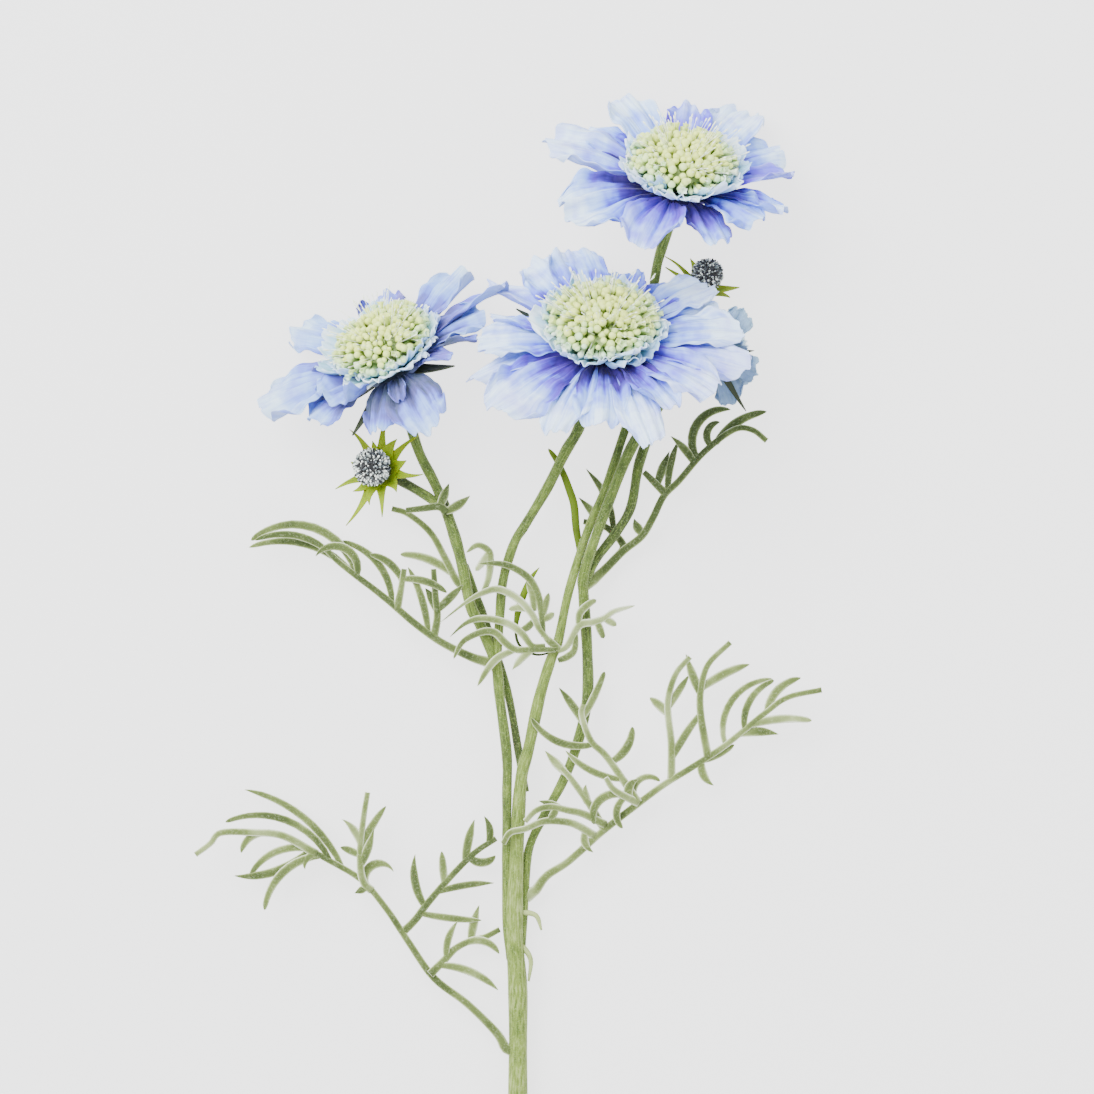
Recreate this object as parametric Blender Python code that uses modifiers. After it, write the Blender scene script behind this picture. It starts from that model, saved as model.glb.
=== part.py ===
"""Scabiosa: a cut spray of pincushion flower, lying on its back on a flat surface.

Three open blooms, a small bloom that nods behind them, two green buds, one branching stem and its finely
cut leaves. Lengths are in millimetres here and are turned into Blender's metres by MM. +Z is up, away from
the surface at z = 0. The stem runs along Y, with its cut end at low Y. Each bloom and bud is modelled in a
frame of its own, with +Z out of its face, and then placed by POSES.
"""

import math

import bmesh
import bpy
from mathutils import Vector

MM = 0.001

# Where each bloom and bud sits, and how it is turned: location in mm, then degrees about X, Y and Z.
POSES = {
    "bloom_centre": ((25, 108, 31), (-49, 0, 0)),
    "bloom_top": ((46, 151, 26.7), (-54, 0, -7)),
    "bloom_left": ((-33, 103, 20.8), (-57, 0, 28)),
    "bloom_rear": ((56, 104, 15), (-150, 0, -60)),
    "bud_left": ((-36, 72, 12.5), (-9, -21, 0)),
    "bud_rear": ((52.8, 122.5, 6.6), (-53, 0, -20)),
}

# Size of each bloom's head, ring and calyx beside those of the largest one.
SIZES = {"bloom_centre": 1.0, "bloom_top": 0.97, "bloom_left": 0.93, "bloom_rear": 0.5}

# Outer petals: azimuth in degrees, then reach, width and tip height in mm, cupping in mm, twist in degrees.
PETALS = {
    "bloom_centre": (
        (-175, 34, 16, -1, 0.5, 0),
        (168, 31, 8, 2, 0.5, 25),
        (147, 37, 7, 0, 0.5, 12),
        (124, 36, 15, 2, 0.5, -6),
        (106, 34, 16, 3, 1, 0),
        (86, 28, 12, 1, -1, 0),
        (65, 25, 9, 2, 0.5, 0),
        (50, 30, 10, 1, -1, -5),
        (33, 36, 14, 0, 0.5, -9),
        (15, 36, 16, 0, 0.5, 4),
        (1, 39, 14, 0, 0.5, 0),
        (-13, 41, 17, -1, 0.5, 2),
        (-37, 38, 16, -2, 0.5, 0),
        (-57, 35, 12, -1, 0.5, -8),
        (-71, 42, 12, -5, -1, -5),
        (-91, 34, 15, -2, 1, 0),
        (-111, 38, 13, -5, -1, 5),
        (-136, 41, 19, -2, 0.5, 0),
        (-163, 38, 11, -6, -0.5, 25),
    ),
    "bloom_top": (
        (171, 38, 18, 1, 0.5, -10),
        (150, 33, 13, 1, 0, 0),
        (123, 36, 15, 3, 1, 4),
        (89, 32, 13, 3, 1.5, 0),
        (62, 37, 16, 2, 0.5, -6),
        (36, 33, 16, 1, 0.5, 6),
        (4, 31, 10, 2, 0.5, -35),
        (-16, 31, 9, -1, 0.5, -15),
        (-34, 28, 14, -2, 0.5, 0),
        (-62, 27, 12, -4, 0.5, -8),
        (-108, 29, 18, -6, 2, 0),
        (-146, 37, 18, -2, 0.5, -16),
    ),
    "bloom_left": (
        (28, 34, 14, 2, 1, -5),
        (-1, 38, 9, 2, 1, -35),
        (-10, 29, 15, -1, 0.5, 4),
        (-24, 26, 8, -1, 0.5, -45),
        (-47, 22, 8, -1, 0.5, -20),
        (-88, 33, 16, -6, 0.5, 0),
        (-97, 23, 5, -2, 1, 0),
        (-119, 25, 10, -6, 0.5, 5),
        (-153, 24, 18, 1, 0.5, -8),
        (-168, 28, 14, -3, 0.5, -8),
        (171, 38, 17, -1, 0.5, -14),
        (152, 25, 7, 1, 0.5, 20),
        (129, 33, 14, 4.5, 0.5, -3),
        (75, 26.4, 14, 3, 0.5, 0),
    ),
    "bloom_rear": (
        (-113, 16, 8, -1, 0.5, 0),
        (-72, 10.5, 7, -1, 0, 3),
        (-32, 14, 9, -1, 0, 3),
        (10, 15, 9, -1, 0, -3),
        (55, 12, 8, -1, 0, 3),
        (100, 11, 8, -1, 0, -3),
        (148, 11, 8, -1, 0, 3),
        (-160, 12, 8, -1, 0, 3),
    ),
}

# Sepals under the petals: azimuth in degrees, reach in mm and tip height in mm.
SEPALS = {
    "bloom_centre": (
        (150, 27, -1.5), (100, 18, -6), (55, 18, -6), (10, 18, -7), (-35, 18, -8), (-80, 18, -9),
        (-125, 18, -8),
    ),
    "bloom_top": (
        (-68, 15, -5.5), (-150, 21.5, -6), (-108, 18, -8), (175, 18, -6), (135, 18, -6), (90, 18, -6),
        (45, 18, -6), (0, 18, -6),
    ),
    "bloom_left": (
        (-45, 20.5, -4), (-147, 22.4, -9.6), (-85, 16, -8), (180, 17, -7), (130, 17, -6), (80, 17, -6),
        (20, 17, -6),
    ),
    "bloom_rear": (
        (-2, 18, -3), (-68, 13, -3), (60, 10, -3), (120, 10, -3), (180, 10, -3), (-130, 12, -3),
    ),
}

# A bloom's layers in its own frame, at full size: the calyx, the outer petals on their disc, the crown of
# inner petals and the head.
LAYER_GAP = 0.5
CALYX_FOOT_Z = -9.0
CALYX_RADIUS = 8.0
CALYX_WAIST = 7.0
CALYX_RIM = 1.6
CALYX_FOOT = 2.6
CUP_STEPS = 10
SEPAL_WIDTH = 4.6
SEPAL_ROOT = 5.0
SEPAL_SINK = 0.8
SEPAL_SAG = 1.5
BLADE_TAPER = 0.85
BLADE_GRID = (1, 2)
OUTER_DISC_Z = (-4.0, -2.6)
OUTER_DISC_RADIUS = 9.5
DISC_STEPS = 14
OUTER_ROOT = 8.0
CROWN_ROOT = 5.8
CROWN_FLAT = 7.5
CROWN_REACH = 19.5
CROWN_CUT = 6.0
CROWN_TIP_Z = 5.0
CROWN_CURVE = 1.2
CROWN_LOBES = {"bloom_centre": 10, "bloom_top": 10, "bloom_left": 10, "bloom_rear": 7}
CROWN_ROWS = 3
PETAL_THICK = 0.7
PETAL_ARCH = 0.06
PETAL_WAVE = 0.5
CLAW_SHARE = 0.24
WIDEST_AT = 0.8
TIP_ROUND = 0.15
TIP_LOBE = 0.03
PETAL_GRID = {"bloom_centre": (3, 3), "bloom_top": (3, 3), "bloom_left": (3, 3), "bloom_rear": (2, 2)}
HEAD_RADIUS = 14.0
HEAD_WAIST = 4.5
SEAT_GAP = 0.3
HEAD_RIM_Z = 5.5
HEAD_TOP_Z = 11.5
KNOB_RISE = 1.5
KNOBS_FROM = -0.1
HEAD_GRID = {"bloom_centre": (18, 11), "bloom_top": (18, 11), "bloom_left": (18, 11), "bloom_rear": (12, 7)}

# Bud bracts: azimuth in degrees, reach and width in mm. Their tips rise off the disc they share.
BRACTS = {
    "bud_left": (
        (81, 16, 4), (56, 10, 4), (38, 15, 4), (15, 9, 4), (-6, 14, 4), (-45, 9, 4), (-79, 13.5, 4),
        (-98, 10, 3), (-117, 17.5, 4), (-137, 9, 3), (-155, 13, 4), (165, 8, 4), (128, 14, 4), (102, 8, 3),
    ),
    "bud_rear": (
        (159, 13.5, 3), (180, 11.5, 3), (126, 10, 3), (100, 8.5, 3), (60, 8, 3), (18, 10, 3),
        (-21, 8.5, 3), (-62, 7.5, 3), (-141, 8, 3),
    ),
}
BRACT_ROOT = 2.5
BRACT_ARCH = 1.2
BRACT_BEND = 0.8 * math.pi
BRACT_TURN_UP = 2.0
BUD_DISC_RADIUS = 4.2
BUD_DISC_Z = (-1.4, -0.4)
BUD_COLLAR_RADIUS = 3.6
BUD_COLLAR_DEPTH = 1.8
BUD_COLLAR_FOOT = 1.4
BUD_HEAD_RADIUS = {"bud_left": 4.9, "bud_rear": 4.2}
BUD_KNOB_RISE = 0.9
BUD_GRID = (12, 9)

# The stem's branches, from root to tip: x, y, z and radius in mm.
STEMS = {
    "trunk": (
        (2, -172, 2.25, 2.6), (2, -164, 2.25, 2.6), (2, -130, 4.0, 2.6), (2, -97, 5.1, 2.6),
        (2, -71, 5.9, 2.6), (1, -52, 6.5, 2.4), (2, -26, 7.4, 1.9), (3, -12, 7.7, 1.7),
        (5, -4, 8.0, 1.6), (8, 10, 8.5, 1.6), (11, 20, 8.8, 1.4), (13, 25, 9.0, 1.3), (16, 39, 9.2, 1.2),
        (21, 55, 9.0, 1.2), (26, 67, 9.2, 1.2), (30, 79, 9.5, 1.2), (34, 92, 9.6, 1.2),
        (38, 114, 9.2, 1.2), (39.6, 125, 9.8, 1.3), (41, 131.5, 12.2, 1.4), (45.2, 143.8, 20.9, 1.4),
    ),
    "left": (
        (0, -62, 6.0, 1.2), (-1, -50, 6.4, 1.3), (-1, -30, 6.8, 1.3), (-1, -17, 7.2, 1.3),
        (-1, -6, 7.5, 1.4), (-3, 10, 8.0, 1.4), (-4, 19, 8.3, 1.5), (-8, 29, 8.6, 1.5),
        (-11, 35, 8.8, 1.5), (-13, 45, 9.1, 1.5), (-15, 53, 9.4, 1.6), (-18, 62, 9.2, 1.5),
        (-21, 69, 8.8, 1.4), (-25, 77, 8.8, 1.4), (-28, 87, 10.6, 1.4), (-29.5, 96.5, 15.4, 1.4),
    ),
    "centre": (
        (-4, 17, 8.3, 1.2), (-3, 31, 8.6, 1.3), (-2, 42, 8.9, 1.3), (1, 52, 9.2, 1.3), (4, 57, 9.4, 1.3),
        (10, 67, 9.6, 1.4), (15, 77, 9.8, 1.5), (18, 82, 10.2, 1.5), (20.5, 88, 12.0, 1.5),
        (23.3, 95, 17.0, 1.5), (25.2, 101.1, 24.2, 1.5),
    ),
    "left_rear": (
        (4, -16, 7.0, 1.1), (2, -4, 5.0, 1.1), (-1, 12, 4.8, 1.1), (-7, 31, 5.2, 1.1), (-10, 39, 6.0, 1.1),
        (-12.5, 46, 7.8, 1.1),
    ),
    "right": (
        (3, -60, 5.8, 1.1), (4, -44, 5.3, 1.1), (5, -32, 5.2, 1.2), (9, -23, 5.2, 1.2), (14, -14, 5.3, 1.3),
        (18, -4, 5.5, 1.4), (21, 9, 5.8, 1.5), (21, 23, 6.3, 1.5), (20, 38, 8.0, 1.5), (20, 43, 9.5, 1.5),
        (22, 50, 11.5, 1.4), (26, 61, 12.8, 1.4), (32, 76, 13.3, 1.5), (36, 83, 13.6, 1.6),
        (41, 90, 15.5, 1.5), (46, 96, 19.5, 1.4), (50, 100, 22.2, 1.4), (52.6, 102, 22.0, 1.2),
        (54.2, 103.1, 19.6, 1.1),
    ),
    "rear": (
        (20, 40, 8.4, 1.2), (23, 47, 8.0, 1.3), (29, 55, 7.6, 1.3), (33, 62, 7.6, 1.3), (35, 73, 8.0, 1.4),
        (38, 83, 8.0, 1.4), (40, 97, 6.5, 1.3), (42.5, 108, 4.6, 1.2), (46, 114.5, 3.4, 1.2),
        (50.4, 118.3, 3.4, 1.1), (51.7, 119.65, 4.25, 1.0),
    ),
    "bud_stalk": (
        (-19, 62, 9.6, 1.3), (-23, 65, 9.0, 1.3), (-29, 68.5, 8.4, 1.3), (-34.1, 71.1, 8.5, 1.2),
    ),
    "stipule_right": ((3, -49, 6.0, 0.8), (7, -50, 6.5, 0.7), (8.5, -54, 6.8, 0.4)),
    "stipule_left": ((3, -58, 6.0, 0.8), (5.5, -62, 6.5, 0.7), (5, -68, 6.8, 0.4)),
}

# Leaves. Each axis is a row of places in mm, with leaflets that start along it. A leaflet holds its place
# along the axis from 0 to 1, its angle to the axis in degrees, its length in mm and its bend in degrees.
LEAVES = {
    "leaf_lower_left": (
        (
            ((-1.5, -86.3, 6), (-4, -82, 6), (-12, -74, 7), (-21, -67, 7), (-28, -57, 8), (-34, -48, 8),
             (-41, -40, 8), (-51, -34, 9), (-56, -31, 9)),
            ((0.85, -35, 36, 55), (0.9, -35, 34, 90), (0.98, 15, 20, 80), (0.94, 35, 23, 80),
             (0.98, 75, 23, -50), (0.93, -10, 8, 150)),
        ),
        (
            ((-53, -33, 9), (-62, -28, 10), (-70, -27, 11), (-79, -27, 12), (-82, -30, 12), (-86, -33, 12)),
            ((0.43, 5, 9, 85),),
        ),
        (
            ((-38, -43, 8), (-40, -41, 9), (-41, -37, 10), (-41, -30, 10), (-40, -22, 11), (-39, -16, 12)),
            ((0.43, -20, 14, -20), (0.48, 10, 9, 50), (0.38, 60, 6, 15), (0.28, -25, 11, 10),
             (0.08, -20, 13, -180), (0.06, 80, 4, -15)),
        ),
        (
            ((-30, -55, 8), (-26, -51, 7), (-23, -47, 6), (-17, -40, 6), (-10, -33, 5), (-4, -29, 4)),
            ((0.27, 70, 15, -45), (0.49, 45, 9, 0), (0.71, 40, 12, -15), (0.76, -90, 8, 100),
             (0.93, 35, 8, 60), (0.41, -30, 16, -20), (0.21, -65, 17, 10)),
        ),
        (
            ((-22, -66, 8), (-18, -62, 7), (-15, -59, 6), (-11, -57, 5), (-7, -56, 4), (-3, -54, 3.4)),
            ((0.51, 10, 12, -100), (0.27, 50, 11, -45), (0.63, 70, 10, -15), (0.15, -45, 18, -45)),
        ),
    ),
    "leaf_lower_right": (
        (
            ((7, -43, 5.5), (10, -39, 7), (16, -35, 7), (25, -27, 8), (34, -20, 8), (42, -14, 9),
             (50, -9, 10), (59, -3, 10), (70, 6, 11), (76, 10, 11), (85, 12, 12)),
            ((0.68, 75, 26, -110), (0.75, 60, 17, -80), (0.83, 40, 14, -70), (0.77, -20, 17, -30),
             (0.73, -25, 11, -30), (0.6, -135, 8, 75), (0.6, -15, 10, 15)),
        ),
        (
            ((44, -12.5, 9), (44, -3, 10), (43, 8, 11), (45, 16, 12), (49, 21, 13)),
            ((0.5, 35, 7, 15), (0.15, -25, 16, -15), (0.55, -35, 11, -5)),
        ),
        (
            ((54, -6.5, 10), (52, 5, 11), (52, 12, 12), (54, 19, 13), (60, 25, 14)),
            ((0.55, -35, 15, -25), (0.5, 25, 12, -10)),
        ),
        (
            ((35, -19, 9), (31, -13, 9), (26, -6, 8), (22, -2, 9), (19.5, 5, 10), (20, 8, 10)),
            ((0.8, 10, 13, 10), (0.63, 60, 20, -75), (0.88, -50, 14, 10), (0.24, 50, 18, -45),
             (0.42, -100, 12, 65)),
        ),
        (
            ((26, -27, 8), (22, -20, 8.5), (17, -13, 8.8), (14, -9.5, 8.8)),
            ((0.9, 5, 8.7, -5), (0.4, 5, 6, -60)),
        ),
        (
            ((23, -28, 8), (18, -25, 9.5), (14, -24, 10.5), (9, -24, 11.3), (4, -26, 11.5), (0, -27, 11.5),
             (-2, -30, 11)),
            ((0.1, 95, 7, 90),),
        ),
        (
            ((26, -25, 8.5), (20, -22, 10), (16, -21, 10.8), (11, -20, 11.2), (7, -21, 11.2),
             (4, -24, 11.2)),
            ((0.52, -15, 7, 15), (0.59, 80, 4, -30)),
        ),
        (
            ((35, -19, 8.5), (31, -17, 11), (28, -15, 12), (26, -12, 13)),
            ((0.44, 15, 14, 130), (0.34, 55, 10, 110), (0.05, -25, 13, -175), (0.21, -25, 7, -120)),
        ),
    ),
    "leaf_middle_left": (
        (
            ((-6.9, 19.7, 8.3), (-11, 21, 8), (-19, 25, 9), (-26, 30, 10), (-33, 36, 10), (-38, 40, 10),
             (-42, 43, 11), (-47, 47, 12), (-50, 50, 12)),
            ((0.83, -10, 31, 70), (0.98, 0, 22, 70), (0.8, -40, 37, 120), (0.8, -70, 18, 165),
             (0.57, -50, 24, 80), (0.33, -50, 19, 25)),
        ),
        (((-31, 34, 10), (-30, 39, 11), (-29, 45, 12)), ((0.7, 30, 12, 60), (0.75, -75, 13, -45))),
        (
            ((-21, 26, 9), (-20, 32, 10), (-20.5, 38, 11), (-21, 45, 12)),
            ((0.4, 10, 7, 25), (0.4, -50, 10, 0)),
        ),
    ),
    "leaf_upper_right": (
        (
            ((22.8, 42, 7.0), (26, 45, 5.4), (31, 50, 5.6), (36, 54, 7), (39, 59, 8), (42, 65, 9),
             (46, 69, 10), (53, 77, 10), (61, 83, 11), (66, 83, 12), (70, 80, 12)),
            ((0.76, 20, 17, -50), (0.74, 105, 9, -140), (0.66, 75, 21, -135), (0.64, 70, 10, 25),
             (0.28, 80, 5, -40), (0.48, 45, 15, -25)),
        ),
        (((42.5, 65.5, 9), (39, 69, 10.5), (36.5, 71.5, 11)), ((0.4, -60, 10, -10),)),
        (((28, 47, 5.4), (31, 51, 4.5), (28, 55, 3.6), (25, 57, 3.4), (20, 58, 3.4)),
         ((0.67, -20, 11, 10),)),
        (((28.4, 55.5, 3.6), (27.3, 61.5, 3.6), (24.6, 67.5, 3.8), (20.7, 72.5, 4)), ()),
    ),
    "leaf_middle": (
        (((13.5, 23, 11.6), (11, 25, 11.8), (9, 27, 12)), ()),
        (
            ((9, 26.5, 12), (8.5, 32.5, 12.1), (7.5, 38, 12.3), (5, 42.5, 12.4), (0.5, 45.5, 12.5),
             (-3.5, 46.5, 12.7), (-8.5, 46.5, 12.8)),
            (),
        ),
        (((6.5, 33.5, 12.2), (6, 38, 12.2), (4.5, 41.5, 12.2)), ()),
        (((8.5, 31.5, 12), (9.5, 35, 12), (10.5, 38.5, 12)), ()),
        (((8.5, 31, 12), (10.5, 32, 12), (12, 33, 12)), ()),
        (
            ((11, 25, 12), (8, 28.5, 12.2), (6, 32.5, 12.4), (3, 36, 12.6), (-0.5, 38.5, 12.8),
             (-4, 39.5, 13), (-7.5, 38.5, 13.2), (-12, 36, 13.4), (-19, 30.5, 13.6)),
            (),
        ),
        (((5.5, 34, 12), (2.5, 34.5, 12), (-0.5, 34, 12)), ()),
        (((6.5, 31, 12), (4.5, 29, 12), (2.5, 28.5, 12)), ()),
        (
            ((9.5, 24, 12), (6, 24, 12.2), (3.5, 27, 12.4), (0.5, 29.5, 12.6), (-3.5, 31, 12.8),
             (-8.5, 31.5, 13), (-12.5, 30, 13.2), (-16.5, 26.5, 13.4)),
            (),
        ),
        (
            ((12.5, 23, 12), (6.5, 23, 12.2), (1.5, 23, 12.3), (-1.5, 25, 12.5), (-4, 27.5, 12.7),
             (-7, 28, 12.9), (-11, 26.5, 13.1), (-13.5, 24.5, 13.2), (-15.5, 20.5, 13.4)),
            (),
        ),
        (((1.5, 23, 12), (-3, 21, 12), (-6, 18, 12), (-9, 13, 12)), ()),
        (((6, 23, 12), (3, 20.5, 12), (0.5, 17.5, 12)), ()),
        (
            ((-7.5, 38.5, 12.2), (-6, 42.5, 12.2), (-5.5, 47, 12.2), (-6, 50, 12.2), (-9, 51.5, 12.2),
             (-12, 49.5, 12.2)),
            (),
        ),
        (((-6, 49.5, 12.2), (-7.5, 47, 12.2), (-9.5, 44.5, 12.2)), ()),
        (
            ((13, 22.5, 11.6), (15.5, 24, 11.6), (18, 28.5, 11.6), (19.5, 30, 11.6), (22.5, 30.5, 11.6),
             (25.5, 31.5, 11.6), (28.5, 33.5, 11.6), (34, 35, 11.6)),
            (),
        ),
        (((25.5, 31.5, 11.4), (27.5, 30.5, 11.4), (29, 29.5, 11.4)), ()),
        (((23.5, 31, 11.4), (24.5, 28.5, 11.4), (25.5, 26, 11.4)), ()),
        (((18.5, 29.5, 11.6), (19, 33, 11.6), (21.5, 35.5, 11.6), (23.5, 36.5, 11.6)), ()),
        (((13, 20, 11.6), (15.5, 21, 11.6), (17.5, 23, 11.6), (18, 28, 11.6)), ()),
    ),
    "leaf_left_fork": (
        (((-17.5, 60.5, 12.4), (-19.5, 62, 12.5), (-24, 61.5, 12.6), (-28.5, 61, 12.4)),
         ((0.2, -75, 7, 0), (0.02, -120, 8, 20))),
    ),
    "leaf_left_rear": (
        (
            ((-12.8, 40, 5.6), (-15, 42, 5), (-18, 48, 5), (-22, 55, 6), (-28, 60, 7), (-32.5, 61.5, 7)),
            ((0.15, 20, 16, 45),),
        ),
    ),
    "bract_centre": (
        (((18.7, 46, 6.4), (19, 50, 6.6), (18, 56, 6.8), (17.4, 62.5, 7.0), (16, 67, 7.0), (14.5, 71, 6.9),
          (12.5, 75, 6.9), (10.3, 78, 7.2)), ()),
    ),
    "bract_small": (
        (((11, 22, 6.2), (7, 21.5, 6.4), (3, 23.5, 7), (1.5, 27, 7.5), (2, 33, 8), (4, 39, 9), (6, 43, 9.5),
          (8, 45.5, 10)), ()),
    ),
}
AXIS_RADIUS = 1.0
LEAFLET_RADIUS = 0.85
TIP_RADIUS = 0.4
LONG_LEAFLET = 13
LEAFLET_RISE = 0.1
LOWEST_LEAFLET = {"leaf_middle": 11.8, "leaf_left_fork": 12.2}
LOWEST_ELSEWHERE = 1.4

# Colours as red, green and blue in the renderer's linear light, and how rough each surface is.
PAINTS = {
    "petal": ((0.50, 0.60, 0.86), 0.7),
    "inner_petal": ((0.66, 0.76, 0.74), 0.7),
    "head": ((0.66, 0.72, 0.42), 0.8),
    "sepal": ((0.06, 0.09, 0.02), 0.7),
    "bract": ((0.36, 0.45, 0.03), 0.7),
    "bud_head": ((0.12, 0.15, 0.18), 0.8),
    "stem": ((0.26, 0.34, 0.10), 0.7),
    "leaf": ((0.42, 0.50, 0.28), 0.8),
}


def clear_scene():
    for item in list(bpy.data.objects):
        bpy.data.objects.remove(item, do_unlink=True)


def make_paint(name):
    colour, roughness = PAINTS[name]
    paint = bpy.data.materials.new(name)
    paint.use_nodes = True
    shader = paint.node_tree.nodes["Principled BSDF"]
    shader.inputs["Base Color"].default_value = (*colour, 1.0)
    shader.inputs["Roughness"].default_value = roughness
    return paint


def new_object(name, mesh):
    item = bpy.data.objects.new(name, mesh)
    bpy.context.scene.collection.objects.link(item)
    return item


def from_bmesh(name, shape):
    mesh = bpy.data.meshes.new(name)
    shape.to_mesh(mesh)
    shape.free()
    return new_object(name, mesh)


def baked(item):
    """The object as a plain mesh, with its modifiers applied and a curve's caps welded."""
    bpy.context.view_layer.update()
    graph = bpy.context.evaluated_depsgraph_get()
    mesh = bpy.data.meshes.new_from_object(item.evaluated_get(graph))
    shape = bmesh.new()
    shape.from_mesh(mesh)
    bmesh.ops.remove_doubles(shape, verts=shape.verts, dist=1e-6)
    bmesh.ops.recalc_face_normals(shape, faces=shape.faces)
    shape.to_mesh(mesh)
    shape.free()
    result = new_object(item.name, mesh)
    result.matrix_world = item.matrix_world
    bpy.data.objects.remove(item, do_unlink=True)
    return result


def tube(name, places, radii, resolution=0):
    """A round bar through places in mm, tapered by radii in mm, with closed ends."""
    curve = bpy.data.curves.new(name, "CURVE")
    curve.dimensions = "3D"
    curve.bevel_depth = MM
    curve.bevel_resolution = resolution
    curve.use_fill_caps = True
    spline = curve.splines.new("POLY")
    spline.points.add(len(places) - 1)
    for point, place, radius in zip(spline.points, places, radii):
        point.co = (*(Vector(place) * MM), 1.0)
        point.radius = radius
    return baked(new_object(name, curve))


def turned(name, profile, steps):
    """A solid turned round Z from a profile of radius and height in mm, listed from top to bottom."""
    shape = bmesh.new()
    row = [shape.verts.new((radius * MM, 0, height * MM)) for radius, height in profile]
    for first, second in zip(row, row[1:]):
        shape.edges.new((first, second))
    item = from_bmesh(name, shape)
    screw = item.modifiers.new("turn", "SCREW")
    screw.steps = steps
    screw.render_steps = steps
    screw.use_merge_vertices = True
    screw.merge_threshold = 1e-5
    return baked(item)


def disc(name, radius, heights):
    low, high = heights
    return turned(name, ((0, high), (radius, high), (radius, low), (0, low)), DISC_STEPS)


def knobbed(name, grid, place, rise):
    """A closed dome covered with knobs: place gives its surface in mm, and every other point stands out."""
    columns, rows = grid
    shape = bmesh.new()
    bmesh.ops.create_uvsphere(shape, u_segments=columns, v_segments=rows, radius=1)
    for vertex in shape.verts:
        normal = vertex.co.normalized()
        column = round(math.atan2(normal.y, normal.x) / (2 * math.pi) * columns)
        row = round(math.acos(max(-1, min(1, normal.z))) / math.pi * rows)
        raised = rise if (column + row) % 2 and normal.z > KNOBS_FROM else 0
        vertex.co = (Vector(place(normal)) + normal * raised) * MM
    bmesh.ops.triangulate(shape, faces=shape.faces, quad_method="SHORT_EDGE")
    return from_bmesh(name, shape)


def sheet(name, across, along, place, thickness):
    """A thin waved blade. place gives the point in mm for t across, -1 to 1, and s along, 0 to 1."""
    shape = bmesh.new()
    bmesh.ops.create_grid(shape, x_segments=across, y_segments=along, size=1)
    for vertex in shape.verts:
        vertex.co = Vector(place(vertex.co.x, (vertex.co.y + 1) / 2)) * MM
    bmesh.ops.remove_doubles(shape, verts=shape.verts, dist=1e-6)
    bmesh.ops.triangulate(shape, faces=shape.faces)
    item = from_bmesh(name, shape)
    solidify = item.modifiers.new("thickness", "SOLIDIFY")
    solidify.thickness = thickness * MM
    solidify.offset = 0
    return baked(item)


def fuse(name, pieces, paint, pose=None):
    """One closed body from overlapping pieces, given its colour and place."""
    body = pieces[0]
    others = bpy.data.collections.new(name + "_pieces")
    bpy.context.scene.collection.children.link(others)
    for piece in pieces[1:]:
        bpy.context.scene.collection.objects.unlink(piece)
        others.objects.link(piece)
    if len(pieces) > 1:
        union = body.modifiers.new("union", "BOOLEAN")
        union.operation = "UNION"
        union.operand_type = "COLLECTION"
        union.collection = others
        union.solver = "MANIFOLD"
        body = baked(body)
    for piece in list(others.objects):
        bpy.data.objects.remove(piece, do_unlink=True)
    bpy.data.collections.remove(others)
    body.name = name
    body.data.name = name
    body.data.materials.clear()
    body.data.materials.append(paint)
    bpy.context.scene.collection.objects.unlink(body)
    bpy.data.collections["Scabiosa"].objects.link(body)
    if pose:
        location, turn = pose
        body.location = Vector(location) * MM
        body.rotation_euler = [math.radians(angle) for angle in turn]
    return body


def around(azimuth, radius, side, height):
    """A point that lies radius out from the bloom's axis and side to the left of that direction."""
    cosine, sine = math.cos(math.radians(azimuth)), math.sin(math.radians(azimuth))
    return (cosine * radius - sine * side, sine * radius + cosine * side, height)


def petal_place(root, root_z, petal):
    """The surface of one petal: a narrow claw that widens into a cupped, waved blade with a lobed edge."""
    azimuth, reach, width, tip_z, cup, twist = petal
    arch = PETAL_ARCH * (reach - root)

    def place(t, s):
        wave = math.cos(2 * math.pi * t)
        half = width / 2 * (CLAW_SHARE + (1 - CLAW_SHARE) * math.sin(min(s / WIDEST_AT, 1) * math.pi / 2))
        out = root + (reach * (1 - TIP_ROUND * t * t - TIP_LOBE * wave * s) - root) * s
        height = root_z * (1 - s) + tip_z * s + arch * 4 * s * (1 - s)
        height += cup * t * t * s + PETAL_WAVE * wave * s * s
        lean = math.radians(twist) * s
        return around(azimuth, out, half * t * math.cos(lean), height + half * t * math.sin(lean))

    return place


def outer_petals(bloom, paint):
    """The ring of large petals, sunk into the thin disc that joins them."""
    size = SIZES[bloom]
    low, high = (z * size for z in OUTER_DISC_Z)
    pieces = [disc("disc", OUTER_DISC_RADIUS * size, (low, high))]
    for petal in PETALS[bloom]:
        place = petal_place(OUTER_ROOT * size, (low + high) / 2, petal)
        pieces.append(sheet("petal", *PETAL_GRID[bloom], place, PETAL_THICK))
    return fuse(bloom + "_petals", pieces, paint, POSES[bloom])


def crown_place(bloom):
    """The ring of inner petals: a sheet that rises outwards, with its edge cut into lobes."""
    size = SIZES[bloom]
    lobes = CROWN_LOBES[bloom]
    root_z = OUTER_DISC_Z[1] * size + LAYER_GAP + PETAL_THICK / 2

    def place(t, s):
        cut = 0.5 - 0.5 * math.cos(math.pi * lobes * (t + 1))
        out = CROWN_ROOT + (CROWN_REACH - CROWN_CUT * cut - CROWN_ROOT) * s
        rise = (max(0, out - CROWN_FLAT) / (CROWN_REACH - CROWN_FLAT)) ** CROWN_CURVE
        return around(180 * t, out * size, 0, root_z * (1 - rise) + CROWN_TIP_Z * size * rise)

    return place


def inner_petals(bloom, paint):
    crown = sheet("crown", 2 * CROWN_LOBES[bloom], CROWN_ROWS, crown_place(bloom), PETAL_THICK)
    return fuse(bloom + "_inner_petals", [crown], paint, POSES[bloom])


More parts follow.
